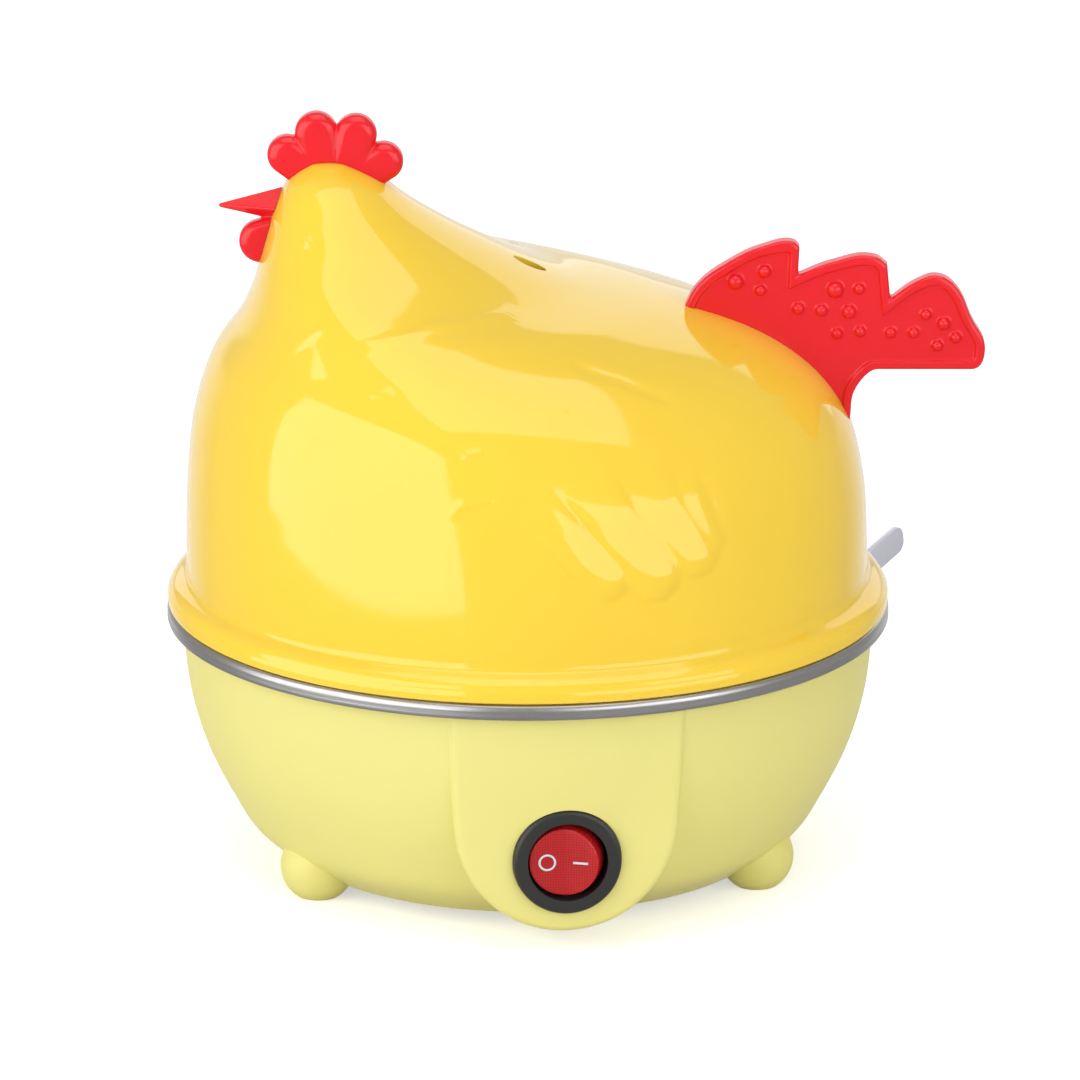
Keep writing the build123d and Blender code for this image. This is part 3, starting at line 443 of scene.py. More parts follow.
def ring_shell(name, rings):
    """A closed piece from rings of points, made from a grid that is rolled up."""
    around = len(rings[0])
    deselect()
    bpy.ops.mesh.primitive_grid_add(x_subdivisions=around, y_subdivisions=len(rings) - 1, size=1)
    piece = bpy.context.object
    piece.name = name
    for vertex in piece.data.vertices:
        ring, step = divmod(vertex.index, around + 1)
        vertex.co = at(*rings[ring][step % around])
    edit_all()
    bpy.ops.mesh.remove_doubles(threshold=0.000001)
    bpy.ops.mesh.select_all(action="DESELECT")
    bpy.ops.mesh.select_mode(type="EDGE")
    bpy.ops.mesh.select_non_manifold()
    bpy.ops.mesh.edge_face_add()
    close_edit()
    return piece


def apply_modifier(piece, kind, **settings):
    """Adds a modifier with its settings and applies it."""
    select_only(piece)
    modifier = piece.modifiers.new(kind.lower(), kind)
    for label, value in settings.items():
        setattr(modifier, label, value)
    bpy.ops.object.modifier_apply(modifier=modifier.name)


def combine(piece, other, operation):
    """Joins the other form to the piece or takes it out, and removes it."""
    apply_modifier(piece, "BOOLEAN", operation=operation, object=other, solver="EXACT")
    bpy.data.objects.remove(other, do_unlink=True)


def smooth(piece, degrees):
    select_only(piece)
    bpy.ops.object.shade_smooth_by_angle(angle=math.radians(degrees))


seam_width = 0.00001


def close_seams(piece):
    """Merges the slivers that cuts leave and closes what stays open."""
    select_only(piece)
    edit_all()
    bpy.ops.mesh.remove_doubles(threshold=seam_width)
    bpy.ops.mesh.dissolve_degenerate(threshold=seam_width)
    bpy.ops.mesh.select_all(action="DESELECT")
    bpy.ops.mesh.select_mode(type="EDGE")
    bpy.ops.mesh.select_non_manifold()
    bpy.ops.mesh.fill_holes(sides=0)
    close_edit()


def settle(piece, slot, body, *nodes):
    """Finishes a piece and puts it on its body in place of its CAD nodes."""
    finish_as(piece, slot)
    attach(piece, body)
    if nodes:
        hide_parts(*nodes)
    return piece


def line_distance(line, x, z):
    """How far a point is from a line of points, and how far along the nearest place is."""
    best = (1e9, 0.0)
    spans = list(zip(line, line[1:]))
    for i, ((x0, z0), (x1, z1)) in enumerate(spans):
        run_x, run_z = x1 - x0, z1 - z0
        share = ((x - x0) * run_x + (z - z0) * run_z) / (run_x ** 2 + run_z ** 2)
        share = min(max(share, 0.0), 1.0)
        away = math.hypot(x - x0 - share * run_x, z - z0 - share * run_z)
        best = min(best, (away, (i + share) / len(spans)))
    return best


def relief_at(x, z):
    """Height of the wing's feathers and the short strokes at a place seen from the side."""
    height = 0.0
    for line, half_width, rise in feathers:
        away, along = line_distance(line, x, z)
        if away < half_width:
            fade = min(along / feather_fade, 1.0)
            height = max(height, rise * fade * math.sqrt(1 - (away / half_width) ** 2))
    for line, half_width, rise in strokes:
        away, along = line_distance(line, x, z)
        if away < half_width:
            height += rise * (1 - (away / half_width) ** 2) ** 2
    return height


def make_lid():
    turns = flank_turns(lid_around)
    places = row_places()
    rings = crown_rings(0.0, turns)
    rings += [[section(row_at(place), 0.0, turn) for turn in turns] for place in places]
    outside = len(rings) * lid_around
    for radius, height in flange_line:
        rings.append([
            (radius * math.cos(turn), radius * math.sin(turn), lid_seat + height) for turn in turns
        ])
    for place in range(1, len(lid_rows)):
        for step in (0.0, 0.5):
            if place + step < len(lid_rows) - 0.9:
                rings.append([section(row_at(place + step), lid_wall, turn) for turn in turns])
    rings += reversed(crown_rings(lid_wall, turns))
    lid = ring_shell("hen_shell", rings)
    moves = {}
    for vertex in lid.data.vertices[:outside]:
        x = (vertex.co.x - axis_x) / MM
        z = vertex.co.z / MM - lid_seat
        rise = relief_at(x, z)
        if rise:
            moves[vertex.index] = vertex.co + vertex.normal * rise * MM
    for index, place in moves.items():
        lid.data.vertices[index].co = place
    for vertex in lid.data.vertices[outside:]:
        away = math.hypot((vertex.co.x - axis_x) / MM - steam_hole[0], vertex.co.y / MM)
        if away < steam_pad[0]:
            vertex.co.z -= steam_pad[1] * (1 - (away / steam_pad[0]) ** 2) * MM
    combine(lid, steam_cutter(), "DIFFERENCE")
    smooth(lid, 40)
    return settle(lid, "lid_yellow", "lid", "hen_lid")


def steam_cutter():
    """The oval steam hole through the back of the neck."""
    x, length, width = steam_hole
    deselect()
    bpy.ops.mesh.primitive_cylinder_add(vertices=48, radius=1, depth=steam_depth * MM,
                                        location=at(x, 0, lid_seat + steam_level))
    cutter = bpy.context.object
    cutter.scale = (length / 2 * MM, width / 2 * MM, 1)
    keep_place()
    return cutter


def seat_cutter():
    """The lid's outer form, a touch larger, that trim pieces are cut to sit on."""
    turns = flank_turns(seat_around)
    rings = crown_rings(-seat_room, turns)
    for i in range(seat_rings):
        row = row_at(len(lid_rows) - 1 - i / seat_density)
        rings.append([section(row, -seat_room, turn) for turn in turns])
    return ring_shell("seat_cutter", rings)


make_lid()


# Red trim
trim_thickness = 6.0
comb_petals = [
    ((-51.1, 98.2), (-45.0, 93.6), 4.3), ((-44.9, 103.0), (-43.2, 93.0), 4.6),
    ((-36.5, 102.6), (-39.0, 93.0), 4.5), ((-30.6, 96.8), (-36.6, 93.0), 4.2),
]
comb_round = 2.3
comb_skin = (0.22, 4)
beak_skin = (0.18, 3)
tail_skin = (0.25, 3)
beak_edge = 0.35
wattle_petal = ((-56.8, 79.2), (-51.0, 81.0), 4.7)
wattle_thickness = 5.2
wattle_round = 2.0
beak_tip = (-65.8, 86.9)
beak_root_x = -47.0
beak_root = [(0.0, 92.6), (5.4, 86.8), (0.0, 82.0), (-5.4, 86.8)]
tail_line = [
    (33.0, 64.0), (36.0, 69.6), (43.0, 75.0), (50.0, 78.3), (56.6, 79.4), (57.9, 78.2), (57.6, 71.9),
    (64.7, 74.8), (74.0, 76.1), (76.6, 74.3), (77.3, 66.6), (83.2, 70.8), (87.4, 71.9), (90.9, 69.9),
    (94.6, 62.6), (97.7, 54.8), (95.1, 51.1), (75.0, 51.1), (70.2, 47.0), (68.7, 39.0), (56.0, 40.0),
    (33.0, 56.0),
]
tail_corners = {0, 5, 6, 9, 10, 19, 20, 21}
tail_level = {16: (1.6, -4.0), 17: (4.0, -2.0)}
tail_half = 2.2
tail_round = 0.8
tail_border = 1.9
tail_panel = 1.4
pocket_half = 2.0
pocket_round = 0.1
tail_beads = [
    ((44.3, 70.5), 1.7), ((50.4, 72.8), 1.4), ((49.6, 68.6), 1.2), ((65.5, 68.8), 1.8),
    ((70.6, 69.0), 1.2), ((57.7, 64.6), 1.3), ((62.6, 64.2), 1.3), ((68.5, 63.9), 1.5),
    ((66.0, 59.1), 1.2), ((70.9, 59.5), 1.2), ((77.4, 59.3), 1.2), ((82.3, 59.3), 1.2),
    ((84.9, 63.3), 1.2), ((88.7, 61.3), 1.4), ((91.3, 58.2), 1.2), ((87.4, 56.4), 1.2),
]


def petal(centre, root, radius, thickness, rounding):
    """A flat petal with a round end, its rim rounded over."""
    deselect()
    middle = at(centre[0], 0, lid_seat + centre[1])
    bpy.ops.mesh.primitive_cylinder_add(vertices=48, radius=radius * MM, depth=thickness * MM,
                                        location=middle, rotation=(math.pi / 2, 0, 0))
    keep_place()
    piece = bpy.context.object
    run = at(root[0], 0, lid_seat + root[1]) - middle
    for vertex in piece.data.vertices:
        if (vertex.co - middle).dot(run) > 0:
            vertex.co += run
    clear_selection()
    for polygon in piece.data.polygons:
        polygon.select = abs(polygon.normal.y) > 0.9
    bpy.ops.object.mode_set(mode="EDIT")
    bpy.ops.mesh.select_mode(type="FACE")
    bpy.ops.mesh.region_to_loop()
    bpy.ops.mesh.bevel(offset=rounding * MM, segments=6, affect="EDGES")
    bpy.ops.object.mode_set(mode="OBJECT")
    return piece


def join(name, pieces):
    deselect()
    for piece in pieces:
        piece.select_set(True)
    bpy.context.view_layer.objects.active = pieces[0]
    bpy.ops.object.join()
    pieces[0].name = name
    return pieces[0]


def melt(piece, voxel, rounds):
    """Joins overlapping shells to one skin and softens it."""
    apply_modifier(piece, "REMESH", mode="VOXEL", voxel_size=voxel * MM)
    apply_modifier(piece, "SMOOTH", factor=0.5, iterations=rounds)


def make_comb():
    comb = join("red_comb", [
        petal(centre, root, radius, trim_thickness, comb_round) for centre, root, radius in comb_petals
    ])
    melt(comb, *comb_skin)
    combine(comb, seat_cutter(), "DIFFERENCE")
    smooth(comb, 45)
    return settle(comb, "trim_red", "lid", "comb")


def make_beak():
    deselect()
    bpy.ops.mesh.primitive_cone_add(vertices=4, radius1=1 * MM, radius2=0.4 * MM, depth=1 * MM)
    beak = bpy.context.object
    corners = list(beak.data.vertices)
    corners.sort(key=lambda vertex: math.atan2(vertex.co.x, vertex.co.y) % (2 * math.pi))
    wide = [vertex for vertex in corners if vertex.co.z < 0]
    narrow = [vertex for vertex in corners if vertex.co.z > 0]
    for low, high, (y, z) in zip(wide, narrow, beak_root):
        low.co = at(beak_root_x, y, lid_seat + z)
        high.co = at(beak_tip[0], 0.1 * y, lid_seat + beak_tip[1] + 0.1 * (z - beak_tip[1]))
    edit_all()
    bpy.ops.mesh.normals_make_consistent(inside=False)
    bpy.ops.mesh.bevel(offset=beak_edge * MM, segments=3, affect="EDGES")
    bpy.ops.object.mode_set(mode="OBJECT")
    centre, root, radius = wattle_petal
    beak = join("red_beak", [beak, petal(centre, root, radius, wattle_thickness, wattle_round)])
    melt(beak, *beak_skin)
    combine(beak, seat_cutter(), "DIFFERENCE")
    smooth(beak, 45)
    return settle(beak, "trim_red", "lid", "beak")


def tail_inset(inset):
    """The tail's outline with each side moved in."""
    moved = []
    for i, corner in enumerate(tail_line):
        before, after = tail_line[i - 1], tail_line[(i + 1) % len(tail_line)]
        length_in, length_out = math.dist(before, corner), math.dist(corner, after)
        normal_in = ((corner[1] - before[1]) / length_in, (before[0] - corner[0]) / length_in)
        normal_out = ((after[1] - corner[1]) / length_out, (corner[0] - after[0]) / length_out)
        share = inset / (1 + normal_in[0] * normal_out[0] + normal_in[1] * normal_out[1])
        moved.append((corner[0] + share * (normal_in[0] + normal_out[0]),
                      corner[1] + share * (normal_in[1] + normal_out[1])))
    return moved


def tail_curve(name, inset, middle, half_thickness, rounding):
    """A plate of the tail's outline moved in by inset, its rim rounded over."""
    curve = bpy.data.curves.new(name, "CURVE")
    curve.dimensions = "2D"
    curve.fill_mode = "BOTH"
    curve.resolution_u = 10
    curve.extrude = (half_thickness - rounding) * MM
    curve.bevel_depth = rounding * MM
    curve.bevel_resolution = 3
    spline = curve.splines.new("BEZIER")
    spline.bezier_points.add(len(tail_line) - 1)
    spline.use_cyclic_u = True
    for i, (point, (x, z)) in enumerate(zip(spline.bezier_points, tail_inset(inset + rounding))):
        point.co = (x * MM, z * MM, 0)
        kind = "VECTOR" if i in tail_corners else "AUTO"
        if i in tail_level:
            kind = "FREE"
            ahead, behind = tail_level[i]
            point.handle_left = ((x + ahead) * MM, z * MM, 0)
            point.handle_right = ((x + behind) * MM, z * MM, 0)
        point.handle_left_type = kind
        point.handle_right_type = kind
    plate = bpy.data.objects.new(name, curve)
    bpy.context.collection.objects.link(plate)
    select_only(plate)
    bpy.ops.object.convert(target="MESH")
    plate = bpy.context.object
    plate.rotation_euler = (math.pi / 2, 0, 0)
    plate.location = at(0, middle, lid_seat)
    keep_place()
    edit_all()
    bpy.ops.mesh.remove_doubles(threshold=0.000005)
    close_edit()
    return plate


def bead(x, y, z, radius):
    deselect()
    bpy.ops.mesh.primitive_uv_sphere_add(segments=20, ring_count=12, radius=radius * MM,
                                         location=at(x, y, lid_seat + z))
    keep_place()
    return bpy.context.object


def make_tail():
    tail = tail_curve("red_tail", 0.0, 0.0, tail_half, tail_round)
    for side in (1, -1):
        middle = side * (tail_panel + pocket_half)
        pocket = tail_curve("tail_pocket", tail_border, middle, pocket_half, pocket_round)
        combine(tail, pocket, "DIFFERENCE")
    pieces = [tail]
    for side in (1, -1):
        for (x, z), radius in tail_beads:
            pieces.append(bead(x, side * tail_panel, z, radius))
    join("red_tail", pieces)
    melt(tail, *tail_skin)
    combine(tail, seat_cutter(), "DIFFERENCE")
    smooth(tail, 45)
    return settle(tail, "trim_red", "lid", "tail")


make_comb()
make_beak()
make_tail()


# Lead: the route's points from the strain relief over the tied coil to the plug
cord_radius = 2.75
coil_centre = (35.6, 119.4)
coil_outer = 36.1
coil_inner = 23.9
coil_pitch = 6.1
coil_level = 3.75
coil_turns = 2
points_per_turn = 16
lead_route = [
    (53.79, 68.85, 12.0), (59.95, 76.73, 12.0), (66.2, 86.6, 9.8), (70.2, 96.4, 5.8),
    (71.7, 105.4, coil_level), (71.7, 113.9, coil_level),
]
tail_route = [
    (-0.5, 113.9, 9.85), (-0.5, 104.9, 9.85), (3.4, 90.4, 11.4), (16.0, 79.0, 13.4),
    (32.8, 76.2, 15.0), (42.9, 83.24, 14.81), (50.5, 94.5, 18.2),
]


def coil_point(turns):
    """A point of the coil's route: wound inwards on the table, then outwards on top."""
    climb_end = coil_turns + 0.5
    radius = coil_outer - coil_pitch * turns
    height = coil_level
    if turns > climb_end:
        radius = coil_inner + coil_pitch * (turns - climb_end)
        height = coil_level + coil_pitch
    elif turns > coil_turns:
        share = (turns - coil_turns) / 0.5
        radius = coil_inner - coil_pitch * math.sin(math.pi * share) / (2 * math.pi)
        height = coil_level + coil_pitch * (1 - math.cos(math.pi * share)) / 2
    # The spline runs inside its points, so they stand a little further out
    radius /= (3 + math.cos(2 * math.pi / points_per_turn)) / 4
    angle = 2 * math.pi * turns
    return (coil_centre[0] + radius * math.cos(angle), coil_centre[1] + radius * math.sin(angle), height)


def make_cord(on_it):
    turns = 2 * coil_turns + 0.5
    steps = round(turns * points_per_turn)
    coil_route = [coil_point(turns * i / steps) for i in range(steps + 1)]
    route = [at(*point) for point in lead_route + coil_route + tail_route]
    curve = bpy.data.curves.new("mains_lead", "CURVE")
    curve.dimensions = "3D"
    spline = curve.splines.new("NURBS")
    spline.points.add(len(route) - 1)
    for point, place in zip(spline.points, route):
        point.co = (*place, 1.0)
    spline.order_u = 3
    spline.use_endpoint_u = True
    spline.resolution_u = 6
    curve.bevel_depth = cord_radius * MM
    curve.bevel_resolution = 4
    curve.use_fill_caps = True
    cord = bpy.data.objects.new("mains_lead", curve)
    bpy.context.collection.objects.link(cord)
    finish_as(cord, "cord_white")
    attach(cord, "base")
    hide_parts("cord_lead", "cord_coil", "cord_tail")


# Strain relief, plug and tie
relief_angle = math.radians(45.0) + base_turn
relief_height = 12.0
relief_neck = [(51.4, 0.1), (51.4, 5.0), (51.6, 5.2), (53.2, 5.2), (53.4, 4.0), (60.6, 4.0), (60.6, 5.8)]
relief_ribs = 6
relief_start, relief_end = 62.4, 85.4
relief_radii = (5.9, 3.9)
relief_tip = [(86.6, 3.8), (87.2, 3.5), (87.37, 3.0), (87.37, 0.1)]
plug_back = (50.5, 94.5, 18.2)
plug_heading = math.radians(56.0)
plug_tilt = math.radians(14.0)
plug_sections = [
    (0.0, 1.0, 0.8), (0.0, 8.6, 7.4), (0.5, 10.4, 8.8), (3.0, 11.6, 9.6), (8.0, 16.0, 11.4),
    (14.0, 21.6, 13.8), (15.0, 21.2, 13.4), (16.0, 21.0, 13.2), (17.0, 21.8, 13.9), (18.0, 21.8, 13.9),
    (19.0, 21.2, 13.3),
    (20.0, 21.2, 13.3), (21.0, 22.3, 14.2), (22.0, 22.3, 14.2), (23.0, 21.7, 13.7), (24.0, 21.9, 13.8),
    (25.2, 23.0, 14.6), (30.0, 23.8, 15.0), (32.8, 24.0, 15.0), (33.6, 23.5, 14.5), (34.0, 22.4, 13.4),
    (34.0, 2.0, 1.0),
]
plug_length = 34.0
plug_around = 80
plug_squareness = 0.55
blade_pitch = 12.7
blade_size = (1.5, 6.3, 18.0)
blade_round = 2.6
blade_edge = 0.25
tie_angle = math.radians(120.0)
tie_span = (19.6, 39.4)
tie_levels = (0.4, 13.2)
tie_width = 8.0
tie_thickness = 0.8
tie_round = 1.6
tie_edge = 0.2


def lathe(name, line, place, around=96):
    """A turned piece: radius and height along its axis, put in place point by point."""
    turns = [2 * math.pi * i / around for i in range(around)]
    return ring_shell(name, [
        [place(radius * math.cos(turn), radius * math.sin(turn), along) for turn in turns]
        for along, radius in line
    ])


def on_relief(across, up, along):
    way_x, way_y = math.cos(relief_angle), math.sin(relief_angle)
    return (along * way_x - across * way_y, along * way_y + across * way_x, relief_height + up)


def make_relief():
    line = list(relief_neck)
    pitch = (relief_end - relief_start) / relief_ribs
    for rib in range(relief_ribs):
        start = relief_start + rib * pitch
        share = rib / (relief_ribs - 1)
        radius = relief_radii[0] + (relief_radii[1] - relief_radii[0]) * share
        line += [(start, radius), (start + 0.3 * pitch, radius + 0.1), (start + 0.6 * pitch, radius),
                 (start + 0.68 * pitch, radius - 0.7), (start + 0.92 * pitch, radius - 0.75)]
    relief = lathe("ribbed_relief", line + relief_tip, on_relief, 48)
    smooth(relief, 35)
    return settle(relief, "cord_white", "base", "strain_relief")


def on_plug(across, up, along):
    """A place from the plug's back, across it, over it and along it."""
    level, rise = math.cos(plug_tilt), math.sin(plug_tilt)
    way = Vector((level * math.cos(plug_heading), level * math.sin(plug_heading), rise))
    side = Vector((math.sin(plug_heading), -math.cos(plug_heading), 0))
    return Vector(plug_back) + side * across + way.cross(side) * up + way * along


def make_plug():
    turns = [2 * math.pi * i / plug_around for i in range(plug_around)]
    rings = []
    for along, width, thickness in plug_sections:
        ring = []
        for turn in turns:
            over, beside = math.sin(turn), math.cos(turn)
            across = math.copysign(abs(beside) ** plug_squareness, beside) * width / 2
            up = math.copysign(abs(over) ** plug_squareness, over) * thickness / 2
            ring.append(on_plug(across, up, along))
        rings.append(ring)
    plug = ring_shell("plug_body", rings)
    smooth(plug, 40)
    return settle(plug, "plug_white", "base", "plug")


def block(length, width, height):
    """A plain block to start a piece from."""
    deselect()
    bpy.ops.mesh.primitive_cube_add(size=1)
    piece = bpy.context.object
    piece.scale = (length, width, height)
    keep_place()
    return piece


def make_blade(side):
    thick, wide, long = blade_size
    blade = block(thick * MM, wide * MM, long * MM)
    clear_selection()
    for edge in blade.data.edges:
        ends = [blade.data.vertices[i].co for i in edge.vertices]
        edge.select = abs(ends[0].x - ends[1].x) > 0.5 * thick * MM and ends[0].z > 0
    bpy.ops.object.mode_set(mode="EDIT")
    bpy.ops.mesh.select_mode(type="EDGE")
    bpy.ops.mesh.bevel(offset=blade_round * MM, segments=8, affect="EDGES")
    bpy.ops.mesh.select_all(action="SELECT")
    bpy.ops.object.mode_set(mode="OBJECT")
    apply_modifier(blade, "BEVEL", width=blade_edge * MM, segments=2, limit_method="ANGLE",
                   angle_limit=math.radians(50))
    for vertex in blade.data.vertices:
        x, y, z = vertex.co / MM
        vertex.co = at(*on_plug(x + side * blade_pitch / 2, y, plug_length + z + long / 2))
    smooth(blade, 40)
    return blade


def make_blades():
    blades = join("plug_blade_pair", [make_blade(-1), make_blade(1)])
    return settle(blades, "blade_nickel", "base", "plug_blades")


def make_tie():
    """A strap round both layers of the coil, its corners rounded."""
    length, height = tie_span[1] - tie_span[0], tie_levels[1] - tie_levels[0]
    tie = block(length * MM, tie_width * MM, height * MM)
    tie.name = "coil_strap"
    clear_selection()
    for polygon in tie.data.polygons:
        polygon.select = abs(polygon.normal.y) > 0.9
    bpy.ops.object.mode_set(mode="EDIT")
    bpy.ops.mesh.select_mode(type="FACE")
    bpy.ops.mesh.delete(type="ONLY_FACE")
    bpy.ops.mesh.select_all(action="DESELECT")
    bpy.ops.object.mode_set(mode="OBJECT")
    for edge in tie.data.edges:
        ends = [tie.data.vertices[i].co for i in edge.vertices]
        edge.select = abs(ends[0].y - ends[1].y) > 0.5 * tie_width * MM
    bpy.ops.object.mode_set(mode="EDIT")
    bpy.ops.mesh.select_mode(type="EDGE")
    bpy.ops.mesh.bevel(offset=tie_round * MM, segments=6, affect="EDGES")
    bpy.ops.object.mode_set(mode="OBJECT")
    apply_modifier(tie, "SOLIDIFY", thickness=tie_thickness * MM, offset=0.0, use_even_offset=True)
    apply_modifier(tie, "BEVEL", width=tie_edge * MM, segments=2, limit_method="ANGLE",
                   angle_limit=math.radians(60))
    middle, level = sum(tie_span) / 2, sum(tie_levels) / 2
    way_x, way_y = math.cos(tie_angle), math.sin(tie_angle)
    for vertex in tie.data.vertices:
        x, across, z = vertex.co / MM
        along = x + middle
        vertex.co = at(coil_centre[0] + along * way_x - across * way_y,
                       coil_centre[1] + along * way_y + across * way_x, level + z)
    smooth(tie, 40)
    return settle(tie, "tie_grey", "base", "coil_tie")


make_relief()
make_cord([make_tie(), make_plug(), make_blades()])


# Pan: its rim is rolled over and shows as the steel band
pan_line = [
    (38.0, 0.3), (38.0, 30.0), (38.0, 60.0), (38.2, 62.8), (38.9, 63.9), (40.2, 64.5), (50.6, 64.5),
    (51.3, 64.8), (51.5, 65.4), (51.5, 69.6), (51.7, 70.2), (52.3, 70.4), (56.4, 70.4), (57.0, 70.7),
    (57.2, 71.3), (57.2, 75.9), (57.08, 76.6), (56.7, 77.15), (56.1, 77.45), (55.5, 77.5), (54.6, 77.42),
    (54.1, 77.5), (53.85, 77.4), (53.8, 77.1), (53.9, 76.8), (54.2, 76.7), (56.0, 76.7), (56.4, 76.4),
    (56.4, 71.2), (51.2, 71.2), (50.7, 70.9), (50.7, 65.3), (38.4, 65.3), (37.2, 64.2), (37.2, 30.0),
    (37.2, 0.3),
]
pan = lathe("rolled_pan", pan_line, lambda across, up, along: (across, up, along), 256)
smooth(pan, 35)
settle(pan, "pan_steel", "base", "heating_pan")


# Base: bowl, switch boss and ball feet in one moulding
bowl_line = [
    (2.8, 50.99), (9.2, 59.5), (15.2, 63.49), (27.2, 69.4), (40.0, 72.9), (53.8, 74.0), (70.0, 74.2),
]
bowl_top = 56.4
bowl_wall = 2.2
boss_reach = 69.6
boss_half = 24.6
boss_bottom = 3.0
boss_edge = 4.0
boss_blend = 2.2
boss_steps, boss_step = 54, 0.5
rest_steps = 140
floor_steps, floor_step = 22, 0.35
wall_steps = 52
floor_ring, middle_ring = 25.0, 0.3
switch_height = 20.5
foot_circle = 54.3
foot_angles = [math.radians(87.5 + 120 * i) for i in range(3)]
foot_radius = 8.0
foot_middle = 6.6
post_line = [(2.9, 0.1), (2.9, 4.2), (29.8, 4.2), (29.8, 0.1)]
bore_line = [(-1.0, 0.1), (-1.0, 3.0), (8.0, 3.0), (8.0, 1.7), (31.0, 1.7), (31.0, 0.1)]
switch_bore = [
    (60.0, 0.1), (60.0, 10.0), (boss_reach, 10.0), (boss_reach, 11.6), (80.0, 11.6), (80.0, 0.1),
]
relief_bore = [(48.0, 0.1), (48.0, 4.1), (80.0, 4.1), (80.0, 0.1)]


def on_base(x, y, z):
    """A place of the base, turned with it."""
    way_x, way_y = math.cos(base_turn), math.sin(base_turn)
    return (x * way_x - y * way_y, x * way_y + y * way_x, z)


def bowl_radius(z):
    """The bowl's outer radius at a height, smoothly between the listed ones."""
    low = max(i for i in range(len(bowl_line) - 1) if bowl_line[i][0] <= max(z, bowl_line[0][0]))
    rises = []
    for i in (low, low + 1):
        before, after = bowl_line[max(i - 1, 0)], bowl_line[min(i + 1, len(bowl_line) - 1)]
        rises.append((after[1] - before[1]) / (after[0] - before[0]))
    (z0, r0), (z1, r1) = bowl_line[low], bowl_line[low + 1]
    run = z1 - z0
    share = min(max((z - z0) / run, 0.0), 1.0)
    return between(r0, rises[0] * run, r1, rises[1] * run, share)


def base_radius(turn, z, inset):
    """How far the base's skin is from its axis: the bowl, and the boss that swells out of it in front."""
    bowl = bowl_radius(z) - inset
    if math.cos(turn) < 0.7:
        return bowl
    plane = (boss_reach - inset) / math.cos(turn)
    x = boss_reach * math.tan(turn)
    middle = boss_bottom + boss_half
    half = boss_half - inset
    inside = half - (math.hypot(x, z - middle) if z < middle else abs(x))
    if inside <= 0:
        return bowl
    share = min(inside / boss_edge, 1.0)
    gap = plane - bowl
    swell = (gap + math.sqrt(gap ** 2 + boss_blend ** 2)) / 2
    return bowl + swell * math.sqrt(1 - (1 - share) ** 4)


def base_form(name, inset, floor, top):
    """A solid inside the base's skin moved in by inset."""
    turns = [math.atan(i * boss_step / boss_reach) for i in range(-boss_steps, boss_steps + 1)]
    rest = 2 * math.pi - 2 * turns[-1]
    turns += [turns[-1] + rest * i / rest_steps for i in range(1, rest_steps)]
    heights = [floor + floor_step * i for i in range(floor_steps)]
    heights += [heights[-1] + (top - heights[-1]) * i / wall_steps for i in range(1, wall_steps + 1)]
    rings = [[(radius, floor)] * len(turns) for radius in (middle_ring, floor_ring)]
    rings += [[(base_radius(turn, z, inset), z) for turn in turns] for z in heights]
    rings += [[(radius, top)] * len(turns) for radius in (floor_ring, middle_ring)]
    return ring_shell(name, [
        [on_base(radius * math.sin(turn), -radius * math.cos(turn), z)
         for turn, (radius, z) in zip(turns, ring)]
        for ring in rings
    ])


def at_feet(name, line):
    """The same turned form at each of the feet."""
    pieces = []
    for angle in foot_angles:
        x, y = foot_circle * math.cos(angle), foot_circle * math.sin(angle)
        pieces.append(lathe(name, line, lambda across, up, along: on_base(x + across, y + up, along), 48))
    return join(name, pieces)


def on_boss(across, up, along):
    """A place from the base axis out through the switch."""
    return on_base(across, -along, switch_height + up)


def make_base():
    low = math.asin(-foot_middle / foot_radius)
    tilts = [low + (math.pi / 2 - 0.02 - low) * i / 28 for i in range(29)]
    ball_line = [(0.0, 0.1)]
    for tilt in tilts:
        ball_line.append((foot_middle + foot_radius * math.sin(tilt), foot_radius * math.cos(tilt)))
    floor = bowl_line[0][0]
    base = base_form("moulded_base", 0.0, floor, bowl_top)
    combine(base, at_feet("ball_feet", ball_line), "UNION")
    combine(base, base_form("base_inside", bowl_wall, floor + bowl_wall, bowl_top + 5), "DIFFERENCE")
    combine(base, at_feet("posts", post_line), "UNION")
    bores = join("bores", [
        at_feet("screw_bores", bore_line),
        lathe("switch_bore", switch_bore, on_boss, 96),
        lathe("relief_bore", relief_bore, on_relief, 48),
    ])
    combine(base, bores, "DIFFERENCE")
    close_seams(base)
    smooth(base, 35)
    return settle(base, "base_yellow", "base", "base_bowl")


make_base()


# Rocker with a ring on the side that is pressed in and a bar on the other
rocker_pivot = (66.6 * math.sin(base_turn), -66.6 * math.cos(base_turn), switch_height)
rocker_turn = base_turn - math.radians(10.0)
rocker_rim = [
    (0.2, 0.0), (1.0, 0.0), (2.0, 0.0), (3.0, 0.0), (4.0, 0.0), (5.0, 0.0), (6.0, 0.0), (6.8, 0.0),
    (7.05, 0.04), (7.2, 0.14), (7.3, 0.3), (7.33, 0.5),
]
rocker_flank = [
    (7.55, -3.3), (7.85, -2.4), (8.1, -1.2), (8.2, 0.0), (8.1, 1.2), (7.6, 2.0), (3.0, 2.0), (0.2, 2.0),
]
pin_line = [(-9.2, 0.1), (-9.2, 0.8), (-9.0, 1.0), (9.0, 1.0), (9.2, 0.8), (9.2, 0.1)]
face_start = 4.6
face_slope = math.tan(math.radians(10.0))
face_blend = 0.6
mark_place = 3.5
ring_radius, ring_thickness = 1.62, 0.22
ring_flatness = 0.4
bar_size = (3.2, 0.5, 0.2)
bar_edge = 0.09


